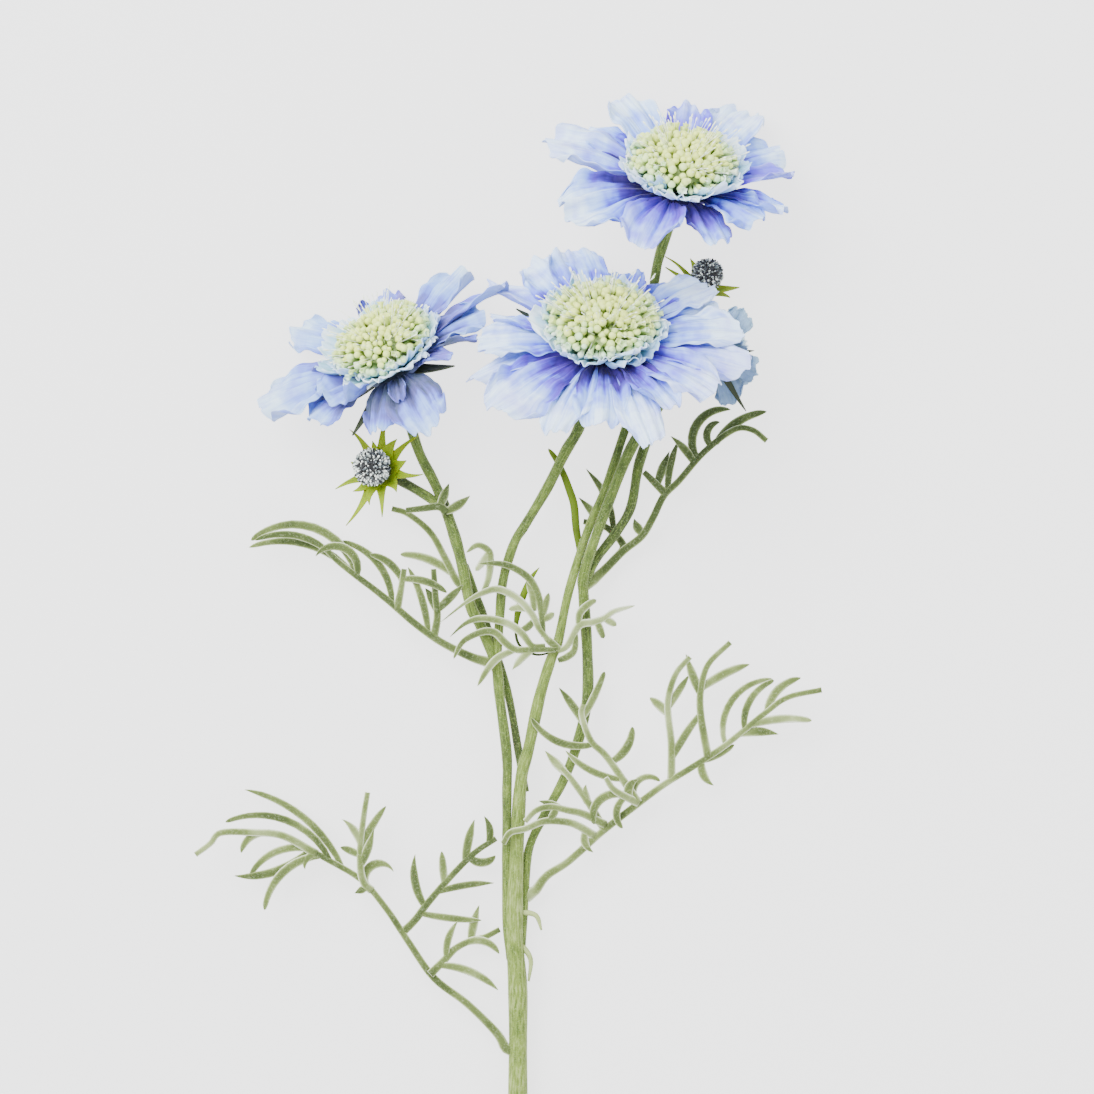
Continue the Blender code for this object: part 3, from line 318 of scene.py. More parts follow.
# Each leaf holds midribs: places along it, then its leaflets as place along it from 0 to 1, angle in degrees,
# length, and bend in degrees.
LEAVES = {
    "leaf_lower_left": (
        (
            ((-1.5, -86.3, 6), (-4, -82, 6), (-12, -74, 7), (-21, -67, 7), (-28, -57, 8), (-34, -48, 8),
             (-41, -40, 8), (-51, -34, 9), (-56, -31, 9)),
            ((0.85, -35, 36, 55), (0.9, -35, 34, 90), (0.98, 15, 20, 80), (0.94, 35, 23, 80),
             (0.98, 75, 23, -50), (0.93, -10, 8, 150)),
        ),
        (
            ((-53, -33, 9), (-62, -28, 10), (-70, -27, 11), (-79, -27, 12), (-82, -30, 12), (-86, -33, 12)),
            ((0.43, 5, 9, 85),),
        ),
        (
            ((-38, -43, 8), (-40, -41, 9), (-41, -37, 10), (-41, -30, 10), (-40, -22, 11), (-39, -16, 12)),
            ((0.43, -20, 14, -20), (0.48, 10, 9, 50), (0.38, 60, 6, 15), (0.28, -25, 11, 10),
             (0.08, -20, 13, -180), (0.06, 80, 4, -15)),
        ),
        (
            ((-30, -55, 8), (-26, -51, 7), (-23, -47, 6), (-17, -40, 6), (-10, -33, 5), (-4, -29, 4)),
            ((0.27, 70, 15, -45), (0.49, 45, 9, 0), (0.71, 40, 12, -15), (0.76, -90, 8, 100),
             (0.93, 35, 8, 60), (0.41, -30, 16, -20), (0.21, -65, 17, 10)),
        ),
        (
            ((-22, -66, 8), (-18, -62, 7), (-15, -59, 6), (-11, -57, 5), (-7, -56, 4), (-3, -54, 3.4)),
            ((0.51, 10, 12, -100), (0.27, 50, 11, -45), (0.63, 70, 10, -15), (0.15, -45, 18, -45)),
        ),
    ),
    "leaf_lower_right": (
        (
            ((7, -43, 5.5), (10, -39, 7), (16, -35, 7), (25, -27, 8), (34, -20, 8), (42, -14, 9),
             (50, -9, 10), (59, -3, 10), (70, 6, 11), (76, 10, 11), (85, 12, 12)),
            ((0.68, 75, 26, -110), (0.75, 60, 17, -80), (0.83, 40, 14, -70), (0.77, -20, 17, -30),
             (0.73, -25, 11, -30), (0.6, -135, 8, 75), (0.6, -15, 10, 15)),
        ),
        (
            ((44, -12.5, 9), (44, -3, 10), (43, 8, 11), (45, 16, 12), (49, 21, 13)),
            ((0.5, 35, 7, 15), (0.15, -25, 16, -15), (0.55, -35, 11, -5)),
        ),
        (
            ((54, -6.5, 10), (52, 5, 11), (52, 12, 12), (54, 19, 13), (60, 25, 14)),
            ((0.55, -35, 15, -25), (0.5, 25, 12, -10)),
        ),
        (
            ((35, -19, 9), (31, -13, 9), (26, -6, 8), (22, -2, 9), (19.5, 5, 10), (20, 8, 10)),
            ((0.8, 10, 13, 10), (0.63, 60, 20, -75), (0.88, -50, 14, 10), (0.24, 50, 18, -45),
             (0.42, -100, 12, 65)),
        ),
        (
            ((26, -27, 8), (22, -20, 8.5), (17, -13, 8.8), (14, -9.5, 8.8)),
            ((0.9, 5, 8.7, -5), (0.4, 5, 6, -60)),
        ),
        (
            ((23, -28, 8), (18, -25, 9.5), (14, -24, 10.5), (9, -24, 11.3), (4, -26, 11.5), (0, -27, 11.5),
             (-2, -30, 11)),
            ((0.1, 95, 7, 90),),
        ),
        (
            ((26, -25, 8.5), (20, -22, 10), (16, -21, 10.8), (11, -20, 11.2), (7, -21, 11.2),
             (4, -24, 11.2)),
            ((0.52, -15, 7, 15), (0.59, 80, 4, -30)),
        ),
        (
            ((35, -19, 8.5), (31, -17, 11), (28, -15, 12), (26, -12, 13)),
            ((0.44, 15, 14, 130), (0.34, 55, 10, 110), (0.05, -25, 13, -175), (0.21, -25, 7, -120)),
        ),
    ),
    "leaf_middle_left": (
        (
            ((-6.9, 19.7, 8.3), (-11, 21, 8), (-19, 25, 9), (-26, 30, 10), (-33, 36, 10), (-38, 40, 10),
             (-42, 43, 11), (-47, 47, 12), (-50, 50, 12)),
            ((0.83, -10, 31, 70), (0.98, 0, 22, 70), (0.8, -40, 37, 120), (0.8, -70, 18, 165),
             (0.57, -50, 24, 80), (0.33, -50, 19, 25)),
        ),
        (((-31, 34, 10), (-30, 39, 11), (-29, 45, 12)), ((0.7, 30, 12, 60), (0.75, -75, 13, -45))),
        (
            ((-21, 26, 9), (-20, 32, 10), (-20.5, 38, 11), (-21, 45, 12)),
            ((0.4, 10, 7, 25), (0.4, -50, 10, 0)),
        ),
    ),
    "leaf_upper_right": (
        (
            ((22.8, 42, 7.0), (26, 45, 5.4), (31, 50, 5.6), (36, 54, 7), (39, 59, 8), (42, 65, 9),
             (46, 69, 10), (53, 77, 10), (61, 83, 11), (66, 83, 12), (70, 80, 12)),
            ((0.76, 20, 17, -50), (0.74, 105, 9, -140), (0.66, 75, 21, -135), (0.64, 70, 10, 25),
             (0.28, 80, 5, -40), (0.48, 45, 15, -25)),
        ),
        (((42.5, 65.5, 9), (39, 69, 10.5), (36.5, 71.5, 11)), ((0.4, -60, 10, -10),)),
        (((28, 47, 5.4), (31, 51, 4.5), (28, 55, 3.6), (25, 57, 3.4), (20, 58, 3.4)),
         ((0.67, -20, 11, 10),)),
        (((28.4, 55.5, 3.6), (27.3, 61.5, 3.6), (24.6, 67.5, 3.8), (20.7, 72.5, 4)), ()),
    ),
    "leaf_middle": (
        (((13.5, 23, 11.6), (11, 25, 11.8), (9, 27, 12)), ()),
        (
            ((9, 26.5, 12), (8.5, 32.5, 12.1), (7.5, 38, 12.3), (5, 42.5, 12.4), (0.5, 45.5, 12.5),
             (-3.5, 46.5, 12.7), (-8.5, 46.5, 12.8)),
            (),
        ),
        (((6.5, 33.5, 12.2), (6, 38, 12.2), (4.5, 41.5, 12.2)), ()),
        (((8.5, 31.5, 12), (9.5, 35, 12), (10.5, 38.5, 12)), ()),
        (((8.5, 31, 12), (10.5, 32, 12), (12, 33, 12)), ()),
        (
            ((11, 25, 12), (8, 28.5, 12.2), (6, 32.5, 12.4), (3, 36, 12.6), (-0.5, 38.5, 12.8),
             (-4, 39.5, 13), (-7.5, 38.5, 13.2), (-12, 36, 13.4), (-19, 30.5, 13.6)),
            (),
        ),
        (((5.5, 34, 12), (2.5, 34.5, 12), (-0.5, 34, 12)), ()),
        (((6.5, 31, 12), (4.5, 29, 12), (2.5, 28.5, 12)), ()),
        (
            ((9.5, 24, 12), (6, 24, 12.2), (3.5, 27, 12.4), (0.5, 29.5, 12.6), (-3.5, 31, 12.8),
             (-8.5, 31.5, 13), (-12.5, 30, 13.2), (-16.5, 26.5, 13.4)),
            (),
        ),
        (
            ((12.5, 23, 12), (6.5, 23, 12.2), (1.5, 23, 12.3), (-1.5, 25, 12.5), (-4, 27.5, 12.7),
             (-7, 28, 12.9), (-11, 26.5, 13.1), (-13.5, 24.5, 13.2), (-15.5, 20.5, 13.4)),
            (),
        ),
        (((1.5, 23, 12), (-3, 21, 12), (-6, 18, 12), (-9, 13, 12)), ()),
        (((6, 23, 12), (3, 20.5, 12), (0.5, 17.5, 12)), ()),
        (
            ((-7.5, 38.5, 12.2), (-6, 42.5, 12.2), (-5.5, 47, 12.2), (-6, 50, 12.2), (-9, 51.5, 12.2),
             (-12, 49.5, 12.2)),
            (),
        ),
        (((-6, 49.5, 12.2), (-7.5, 47, 12.2), (-9.5, 44.5, 12.2)), ()),
        (
            ((13, 22.5, 11.6), (15.5, 24, 11.6), (18, 28.5, 11.6), (19.5, 30, 11.6), (22.5, 30.5, 11.6),
             (25.5, 31.5, 11.6), (28.5, 33.5, 11.6), (34, 35, 11.6)),
            (),
        ),
        (((25.5, 31.5, 11.4), (27.5, 30.5, 11.4), (29, 29.5, 11.4)), ()),
        (((23.5, 31, 11.4), (24.5, 28.5, 11.4), (25.5, 26, 11.4)), ()),
        (((18.5, 29.5, 11.6), (19, 33, 11.6), (21.5, 35.5, 11.6), (23.5, 36.5, 11.6)), ()),
        (((13, 20, 11.6), (15.5, 21, 11.6), (17.5, 23, 11.6), (18, 28, 11.6)), ()),
    ),
    "leaf_left_fork": (
        (((-17.5, 60.5, 12.4), (-19.5, 62, 12.5), (-24, 61.5, 12.6), (-28.5, 61, 12.4)),
         ((0.2, -75, 7, 0), (0.02, -120, 8, 20))),
    ),
    "leaf_left_rear": (
        (
            ((-12.8, 40, 5.6), (-15, 42, 5), (-18, 48, 5), (-22, 55, 6), (-28, 60, 7), (-32.5, 61.5, 7)),
            ((0.15, 20, 16, 45),),
        ),
    ),
    "bract_centre": (
        (((18.7, 46, 6.4), (19, 50, 6.6), (18, 56, 6.8), (17.4, 62.5, 7.0), (16, 67, 7.0), (14.5, 71, 6.9),
          (12.5, 75, 6.9), (10.3, 78, 7.2)), ()),
    ),
    "bract_small": (
        (((11, 22, 6.2), (7, 21.5, 6.4), (3, 23.5, 7), (1.5, 27, 7.5), (2, 33, 8), (4, 39, 9), (6, 43, 9.5),
          (8, 45.5, 10)), ()),
    ),
}
# How pale each leaf's down makes it, and how ripe a bract is.
LEAF_PALENESS = {
    "leaf_lower_left": 0.48, "leaf_lower_right": 0.6, "leaf_middle_left": 0.36, "leaf_upper_right": 0.26,
    "leaf_middle": 0.62, "leaf_left_fork": 0.4, "leaf_left_rear": 0.6,
}
BRACT_RIPENESS = 0.3
# The least height over the floor of a leaf's leaflets.
LOWEST_LEAFLET = {"leaf_middle": 11.8, "leaf_left_fork": 12.2}
LOWEST_OTHER_LEAFLET = 1.4
# How steeply leaflets rise and fall by turns, so that they don't cross in one plane.
LEAFLET_RISE = 0.1
LEAFLET_HALF_WIDTH, LEAFLET_HALF_THICKNESS = 1.2, 0.4
# A midrib's radius at its foot, and its thickness beside its width.
MIDRIB_RADIUS, MIDRIB_FLATNESS = 1.2, 0.6
LEAF_SIDES = 10
# A midrib without leaflets is a leaflet of its own, and has the girth of one of this length and half width.
LONE_LEAFLET_LENGTH, LONE_LEAFLET_HALF_WIDTH = 15, 1.05
LEAF_HAIRS_PER_MM2, LEAF_HAIR_LENGTH, LEAF_HAIR_RADIUS = 2.2, 0.4, 0.03
# Where the foot of a leaf's first midrib ends inside the stem.
LEAF_FEET = {
    "leaf_lower_left": (1.8, -87.6, 5.5), "leaf_lower_right": (4.2, -45.0, 5.2),
    "leaf_middle_left": (-4.2, 19.0, 8.2), "leaf_upper_right": (20.4, 40.6, 8.2),
}
# How much wider a leaf's foot is and how much paler its sheath, and the lengths over which both fade out.
LEAF_FOOT_SWELL, LEAF_FOOT_LENGTH = 0.5, 4
SHEATH_PALENESS, SHEATH_LENGTH = 0.25, 5
# Steps of a leaflet's arc, and rows of points that are kept of it.
ARC_STEPS, LEAFLET_ROWS = 60, 16


def leaflet_bar(midrib, leaflet, rise, lowest):
    """The places along a leaflet, and how far along it each is. Its heading starts at the midrib's heading
    plus its angle and turns evenly by its bend; the places are the running sum of the heading's cosine and
    sine. They crowd together towards its tip, as a sine."""
    along, angle, length, bend = leaflet
    steps = np.diff(midrib, axis=0)
    lengths = np.linalg.norm(steps, axis=1)
    ends = lengths.cumsum()
    piece = min(np.searchsorted(ends, along * ends[-1]), len(steps) - 1)
    share = min(1, (along * ends[-1] - (ends[piece] - lengths[piece])) / lengths[piece])
    root = midrib[piece] + steps[piece] * share
    heading = math.atan2(steps[piece][1], steps[piece][0]) + math.radians(angle)
    fine = np.linspace(0, 1, ARC_STEPS + 1)
    turn = heading + math.radians(bend) * (fine[:-1] + fine[1:]) / 2
    path = np.vstack([root, root + np.cumsum(
        np.stack([np.cos(turn), np.sin(turn), np.full(ARC_STEPS, rise)], 1), axis=0) * length / ARC_STEPS])
    path[:, 2] = np.maximum(path[:, 2], lowest)
    w = np.sin(np.linspace(0, np.pi / 2, LEAFLET_ROWS))
    places = np.stack([np.interp(w, fine, column) for column in path.T], 1)
    return places, w


def leaflet_girth(w, length, half_width, half_thickness, point):
    """Half width and half thickness along a leaflet: a narrow foot, a swell in the middle as a sine, a slow
    taper, and an end whose width falls as the root of one minus the square of how far into it. With a
    pointed leaflet the end is longer, and its two powers run towards 1.2 and 0.85."""
    end = min(0.5, (1.2 + 4.5 * point) * half_width / length)
    into = np.clip((w - 1 + end) / end, 0, 0.995)
    close = (1 - into ** (2 - 0.8 * point)) ** (0.5 + 0.35 * point)
    swell = (0.66 + 0.42 * np.sin(np.pi * w ** 0.9)) * (1 - 0.12 * w) * close
    return np.stack([half_width * swell, half_thickness * np.maximum(swell, 0.1)], 1)


# The same green tissue under thick sage down: paler and greyer than the stem, matt, with green showing
# through in patches about 9 mm across, and only faint specks of 0.6 mm.
leaf_finish, tree, shader = new_finish("downy sage leaf", {
    "Roughness": 0.8, "Specular IOR Level": 0.25, "Sheen Weight": 0.4, "Sheen Roughness": 0.5,
    "Sheen Tint": linear("#DDE6BC"),
})
place = add_node(tree, "TexCoord", {}, {}).outputs
paleness = add_node(tree, "Attribute", {"attribute_name": "paleness"}, {}).outputs["Fac"]
patches = add_node(tree, "TexNoise", {"Scale": 110.0, "Detail": 2.0}, {"Vector": place["Object"]})
tufts = add_node(tree, "TexNoise", {"Scale": 1700.0, "Detail": 2.0}, {"Vector": place["Object"]})
tone = add_node(tree, "Math", {"operation": "MULTIPLY_ADD", 1: 1.1},
                {0: patches.outputs["Fac"], 2: paleness})
tone = add_node(tree, "Math", {"operation": "SUBTRACT", 1: 0.75}, {0: tone.outputs[0]})
# The edges of a leaflet are paler than its middle, as the cosine of the angle round it to the power 4: a
# painted sheen of the down where it is seen edge-on from above.
split = add_node(tree, "SeparateXYZ", {}, {"Vector": place["UV"]})
turn = add_node(tree, "Math", {"operation": "MULTIPLY", 1: 2 * math.pi}, {0: split.outputs["X"]})
side = add_node(tree, "Math", {"operation": "COSINE"}, {0: turn.outputs[0]})
side = add_node(tree, "Math", {"operation": "ABSOLUTE"}, {0: side.outputs[0]})
side = add_node(tree, "Math", {"operation": "POWER", 1: 4.0}, {0: side.outputs[0]})
tone = add_node(tree, "Math", {"operation": "MULTIPLY_ADD", 1: 0.9}, {0: side.outputs[0], 2: tone.outputs[0]})
tone = add_node(tree, "Math", {"operation": "SUBTRACT", 1: 0.12}, {0: tone.outputs[0]})
green = add_node(tree, "ValToRGB", {"stops": (
    (0.0, "#36441A"), (0.3, "#586732"), (0.6, "#889463"), (1.0, "#C6CDB4"),
)}, {"Fac": tone.outputs[0]})
tufted = add_node(tree, "MapRange", {"From Min": 0.52, "From Max": 0.7, "To Max": 0.15},
                  {"Value": tufts.outputs["Fac"]})
colour = add_node(tree, "Mix", {"data_type": "RGBA", 7: linear("#B8C498")},
                  {0: tufted.outputs[0], 6: green.outputs["Color"]})
tree.links.new(colour.outputs[2], shader.inputs["Base Color"])
bump = add_node(tree, "Bump", {"Strength": 0.4, "Distance": 0.0002}, {"Height": tufts.outputs["Fac"]})
tree.links.new(bump.outputs[0], shader.inputs["Normal"])

# Bracts and bud stars are bare of down: smooth yellow-green tissue, mottled in patches about 5 mm across,
# and paler where it is ripe.
bract_finish, tree, shader = new_finish("smooth yellow-green bract", {
    "Roughness": 0.65, "Specular IOR Level": 0.2, "Subsurface Weight": 0.15, "Subsurface Scale": 0.001,
})
place = add_node(tree, "TexCoord", {}, {}).outputs
ripe = add_node(tree, "Attribute", {"attribute_name": "paleness"}, {}).outputs["Fac"]
patches = add_node(tree, "TexNoise", {"Scale": 200.0, "Detail": 3.0}, {"Vector": place["Object"]})
ripe = add_node(tree, "Math", {"operation": "MULTIPLY_ADD", 1: 0.8}, {0: patches.outputs["Fac"], 2: ripe})
green = add_node(tree, "ValToRGB", {"stops": (
    (0.2, "#2F3F08"), (0.5, "#4C6006"), (0.8, "#5C7404"), (1.0, "#728800"),
)}, {"Fac": ripe.outputs[0]})
tree.links.new(green.outputs["Color"], shader.inputs["Base Color"])
grain = add_node(tree, "TexNoise", {"Scale": 900.0, "Detail": 2.0}, {"Vector": place["Object"]})
bump = add_node(tree, "Bump", {"Strength": 0.2, "Distance": 0.0001}, {"Height": grain.outputs["Fac"]})
tree.links.new(bump.outputs[0], shader.inputs["Normal"])

chance = np.random.default_rng(12)
downy_bars = []
for name, midribs in LEAVES.items():
    bars = []
    for number, (places, leaflets) in enumerate(midribs):
        route = smooth_route(places)
        w = np.linspace(0, 1, len(route))
        girth = MIDRIB_RADIUS * (1 - 0.35 * w)
        if not leaflets:
            girth = leaflet_girth(w, LONE_LEAFLET_LENGTH, LONE_LEAFLET_HALF_WIDTH, LONE_LEAFLET_HALF_WIDTH,
                                  chance.uniform(0, 0.8))[:, 0]
        if name == "bract_small":
            # Its lower half runs thin and dark among the leaves, and only the upper half is a bract.
            girth = girth * np.interp(w, (0, 0.45, 0.6, 1), (0.35, 0.35, 1, 1))
        if number == 0 and name in LEAF_FEET:
            # The foot widens as an exponential towards the stem.
            route = np.vstack([LEAF_FEET[name], route])
            along = np.linalg.norm(route - route[0], axis=1)
            swell = 1 + LEAF_FOOT_SWELL * np.exp(-along / LEAF_FOOT_LENGTH)
            girth = np.concatenate([girth[:1], girth]) * swell
        bars.append(bar(np.column_stack([route, girth, girth * MIDRIB_FLATNESS]), LEAF_SIDES))
        for index, leaflet in enumerate(leaflets):
            rise = LEAFLET_RISE * (1 if index % 2 else -1)
            lowest = LOWEST_LEAFLET.get(name, LOWEST_OTHER_LEAFLET)
            route, w = leaflet_bar(np.array(places, float), leaflet, rise, lowest)
            girth = leaflet_girth(w, leaflet[2], LEAFLET_HALF_WIDTH * chance.uniform(0.85, 1.1),
                                  LEAFLET_HALF_THICKNESS, chance.uniform(0, 0.8))
            bars.append(bar(np.column_stack([route, girth]), LEAF_SIDES))
    for shape in bars:
        shape["marks"] = {"paleness": LEAF_PALENESS.get(name, BRACT_RIPENESS) + chance.normal(0, 0.1)}
    if name in LEAF_FEET:
        # The sheath at the foot is paler, which fades out as an exponential.
        bars[0]["marks"]["paleness"] += SHEATH_PALENESS * np.exp(-bars[0]["length"] / SHEATH_LENGTH)[:, None]
    if name == "bract_small":
        # It is dark up to its bract, and ripe from there on.
        rows = np.linspace(0, 1, len(bars[0]["grid"]))[:, None]
        bars[0]["marks"]["paleness"] = np.interp(rows, (0.4, 0.6), (-0.3, 0.4))
    if name.startswith("bract"):
        grown(name.replace("bract_", "") + "_bract", bars, bract_finish, (name,))
    else:
        grown(name.replace("leaf_", "") + "_leaf", bars, leaf_finish, (name,))
        downy_bars += bars
hairs = down_on(downy_bars, LEAF_HAIRS_PER_MM2, LEAF_HAIR_LENGTH, LEAF_HAIR_RADIUS, chance)
grown("leaf_down", [hairs], hair_finish)

# The buds. Each is a ball of closed grey-blue florets in a green star: a small cup with long and short
# pointed bracts. The bracts are thin blades that rise off the cup, lift in an arch and turn up at the tip.

# Where each bloom and bud sits: location, then turns about X, Y and Z in degrees.
POSES = {
    "bloom_centre": ((25, 108, 31), (-49, 0, 0)),
    "bloom_top": ((46, 151, 26.7), (-54, 0, -7)),
    "bloom_left": ((-33, 103, 20.8), (-57, 0, 28)),
    "bloom_rear": ((56, 104, 15), (-150, 0, -60)),
    "bud_left": ((-36, 72, 12.5), (-9, -21, 0)),
    "bud_rear": ((52.8, 122.5, 6.6), (-53, 0, -20)),
}
# Azimuth in degrees, reach and width of each bract.
BRACTS = {
    "bud_left": (
        (81, 16, 4), (56, 10, 4), (38, 15, 4), (15, 9, 4), (-6, 14, 4), (-45, 9, 4), (-79, 13.5, 4),
        (-98, 10, 3), (-117, 17.5, 4), (-137, 9, 3), (-155, 13, 4), (165, 8, 4), (128, 14, 4), (102, 8, 3),
    ),
    "bud_rear": (
        (159, 13.5, 3), (180, 11.5, 3), (126, 10, 3), (100, 8.5, 3), (60, 8, 3), (18, 10, 3),
        (-21, 8.5, 3), (-62, 7.5, 3), (-141, 8, 3),
    ),
}
BRACT_ROOT, BRACT_THICKNESS = 2.5, 0.3
BRACT_ROWS, BRACT_COLUMNS = 20, 7
# Radius and height along the cup, from its top.
BUD_CUP = ((0, -0.4), (4.2, -0.4), (4.3, -0.8), (3.6, -1.4), (2.6, -2.2), (1.5, -3.0), (1.3, -3.2), (0, -3.2))
BUD_CUP_SIDES = 24
# Edges steeper than this many degrees stay crisp on a blade.
CRISP_EDGE = 60
# The ball of florets: its radius, and the height of its foot.
BUD_HEAD_RADIUS = {"bud_left": 4.9, "bud_rear": 4.2}
BUD_HEAD_FOOT = -0.1
# Radius of the dark ball between the florets, which paints the shade in the gaps between them, and of the
# sphere that their roots lie on, as shares of the head's radius.
BUD_BALL_SHARE, BUD_ROOT_SHARE = 0.9, 0.8
BUD_BALL_SIDES, BUD_BALL_RINGS = 28, 17
BUD_FLORETS = 620
# The florets' spiral starts at the top and ends this share of the radius below it. Each turns by the golden
# angle, in radians, from the last.
BUD_COVER = 1.7
GOLDEN_ANGLE = 2.39996
# Share of length and share of width along a closed floret, then its sides, its lobes and their bulge.
BUD_FLORET_FORM = (((0, 0.6), (0.45, 0.9), (0.75, 1.0), (0.92, 0.7), (1, 0.15)), 6, 3, 0.2)


def in_place(points, bloom):
    """Points of a bloom's own frame, turned and moved to where it sits."""
    location, turns = POSES[bloom]
    turn = np.array(Euler([math.radians(angle) for angle in turns]).to_matrix())
    return points @ turn.T + np.array(location, float)


def polar(azimuth, out, side, height):
    """Points that lie out from the axis along an azimuth, side to the left of it, and height above."""
    cosine, sine = np.cos(np.radians(azimuth)), np.sin(np.radians(azimuth))
    return np.stack([cosine * out - sine * side, sine * out + cosine * side, height], -1)


def blade(grid, thickness, marks):
    """A thin closed blade from a grid of points, rows along it and columns across it. Its two faces lie half
    the thickness either side of the grid, along the grid's normal, which is the cross product of the steps
    along and across, and a rim joins their edges."""
    rows, columns = grid.shape[:2]
    normal = unit(np.cross(np.gradient(grid, axis=0), np.gradient(grid, axis=1)))
    faces, corner_rows, corner_columns = grid_faces(rows, columns, False)
    index = np.arange(rows * columns).reshape(rows, columns)
    rim = np.concatenate([index[0, :-1], index[:-1, -1], index[-1, :0:-1], index[:0:-1, 0]])
    following = np.roll(rim, -1)
    below = rows * columns
    walls = np.stack([rim, following, following + below, rim + below], 1)
    corners = np.stack([corner_columns / (columns - 1), corner_rows / (rows - 1)], -1)
    spots = np.stack([walls % below % columns / (columns - 1), walls % below // columns / (rows - 1)], -1)
    return {
        "grid": np.stack([grid + normal * thickness / 2, grid - normal * thickness / 2]),
        "faces": [*faces[:, ::-1].tolist(), *(faces + below).tolist(), *walls.tolist()],
        "uv": np.concatenate([corners[:, ::-1], corners, spots]).reshape(-1, 2),
        "marks": {name: np.broadcast_to(value, (2, rows, columns)) for name, value in marks.items()},
    }


def turned(profile, sides, marks):
    """A closed turned shape: each point (radius, height) of the profile, listed from the axis at the top
    round to the axis at the foot, is carried round Z. A point on the axis becomes a tiny closed ring."""
    rows = np.array(profile, float)
    angle = np.linspace(0, 2 * np.pi, sides, endpoint=False)
    radius = np.maximum(rows[:, :1], 0.01)
    grid = np.stack([radius * np.cos(angle), radius * np.sin(angle), rows[:, 1:] + 0 * angle], -1)
    faces, corner_rows, corner_columns = grid_faces(len(rows), sides, True)
    last = np.arange(sides)[::-1] + (len(rows) - 1) * sides
    return {
        "grid": grid,
        "faces": [*faces[:, ::-1].tolist(), list(range(sides)), last.tolist()],
        "uv": np.concatenate([
            np.stack([corner_columns / sides, corner_rows / len(rows)], -1)[:, ::-1].reshape(-1, 2),
            np.zeros((2 * sides, 2)),
        ]),
        "marks": {name: np.full(grid.shape[:2], value) for name, value in marks.items()},
    }


def knobs(roots, directions, lengths, widths, profile, sides, lobes, bulge, marks):
    """Many like florets at once. Each carries a profile of (share of length, share of width) along its own
    direction, round a ring that bulges into lobes: width times one plus the bulge, which grows as the fourth
    power of the share of length, times the cosine of the angle times lobes. Points come from roots,
    directions and two spokes at right angles, all as whole arrays."""
    profile = np.array(profile, float)
    spare = np.where(np.abs(directions[:, 2:3]) < 0.9, (0.0, 0.0, 1.0), (1.0, 0.0, 0.0))
    first = unit(np.cross(directions, spare))
    second = np.cross(directions, first)
    angle = np.linspace(0, 2 * np.pi, sides, endpoint=False)
    lobed = 1 + bulge * np.cos(lobes * angle) * profile[:, :1] ** 4
    ring = first[:, None] * np.cos(angle)[:, None] + second[:, None] * np.sin(angle)[:, None]
    grid = (roots[:, None, None]
            + directions[:, None, None] * lengths[:, None, None, None] * profile[:, 0][:, None, None]
            + ring[:, None] * (lobed[:, :, None] * profile[:, 1][:, None, None]
                               * widths[:, None, None, None]))
    faces, corner_rows, corner_columns = grid_faces(len(profile), sides, True)
    last = np.arange(sides) + (len(profile) - 1) * sides
    count, each = len(roots), len(profile) * sides
    starts = np.arange(count)[:, None, None] * each
    sheets = (faces[None] + starts).reshape(-1, 4)
    tops = (last[None] + starts[:, 0]).reshape(count, -1)
    feet = (np.arange(sides)[::-1][None] + starts[:, 0]).reshape(count, -1)
    uv = np.stack([corner_columns / sides, profile[corner_rows, 0]], -1).reshape(-1, 2)
    return {
        "grid": grid,
        "faces": [*sheets.tolist(), *tops.tolist(), *feet.tolist()],
        "uv": np.concatenate([np.tile(uv, (count, 1)), np.tile((0.0, 1.0), (count * sides, 1)),
                              np.zeros((count * sides, 2))]),
        "marks": {name: np.broadcast_to(np.reshape(value, (-1, 1, 1)) * np.ones((count, 1, 1)),
                                        grid.shape[:3]) for name, value in marks.items()},
    }


def bract_blade(azimuth, reach, width, bow):
    """A bud's bract, with s along it and t across it. A long one is a claw: half its width is a broad foot
    that falls off as the fourth power of what is left of its length, plus a slim blade that falls off as the
    power 0.75; a short one is nearly a triangle. Its height lifts as a sine arch and turns up as the square,
    and dips along the midrib. The bow bends it sideways as a sine, and brings its tip back."""
    s = np.linspace(0, 1, BRACT_ROWS)[:, None]
    t = np.linspace(-1, 1, BRACT_COLUMNS)[None, :]
    slim = np.clip((reach - 10) / 3, 0, 1)
    left = 1 - s
    half = width / 2 * (slim * (0.58 * left ** 0.75 + 0.85 * left ** 4) + (1 - slim) * 1.55 * left ** 0.95)
    half = np.maximum(half, 0.06)
    height = -1.1 + 1.2 * np.sin(0.8 * np.pi * s) + 2.0 * s * s + 0.4 * np.abs(t) * left
    side = half * t + bow * np.sin(np.pi * s ** 1.3)
    ripeness = 0.35 + 0.35 * s + 0.2 * np.abs(t)
    out = BRACT_ROOT + (reach - BRACT_ROOT) * s
    return blade(polar(azimuth, out, side, height), BRACT_THICKNESS, {"paleness": ripeness})


# Closed florets of the bud: dull slate blue, tipped with whitish meal in specks about 0.7 mm across.
bud_finish, tree, shader = new_finish("mealy slate-blue floret", {"Roughness": 0.85, "Sheen Weight": 0.3})
place = add_node(tree, "TexCoord", {}, {}).outputs
meal = add_node(tree, "Attribute", {"attribute_name": "meal"}, {}).outputs["Fac"]
specks = add_node(tree, "TexNoise", {"Scale": 1500.0, "Detail": 3.0}, {"Vector": place["Object"]})
tone = add_node(tree, "Math", {"operation": "MULTIPLY_ADD", 1: 0.9}, {0: specks.outputs["Fac"], 2: meal})
colour = add_node(tree, "ValToRGB", {"stops": (
    (0.3, "#07090B"), (0.48, "#1A2026"), (0.62, "#4E5A60"), (0.78, "#A4B0A8"), (0.95, "#EEF4EA"),
)}, {"Fac": tone.outputs[0]})
tree.links.new(colour.outputs["Color"], shader.inputs["Base Color"])
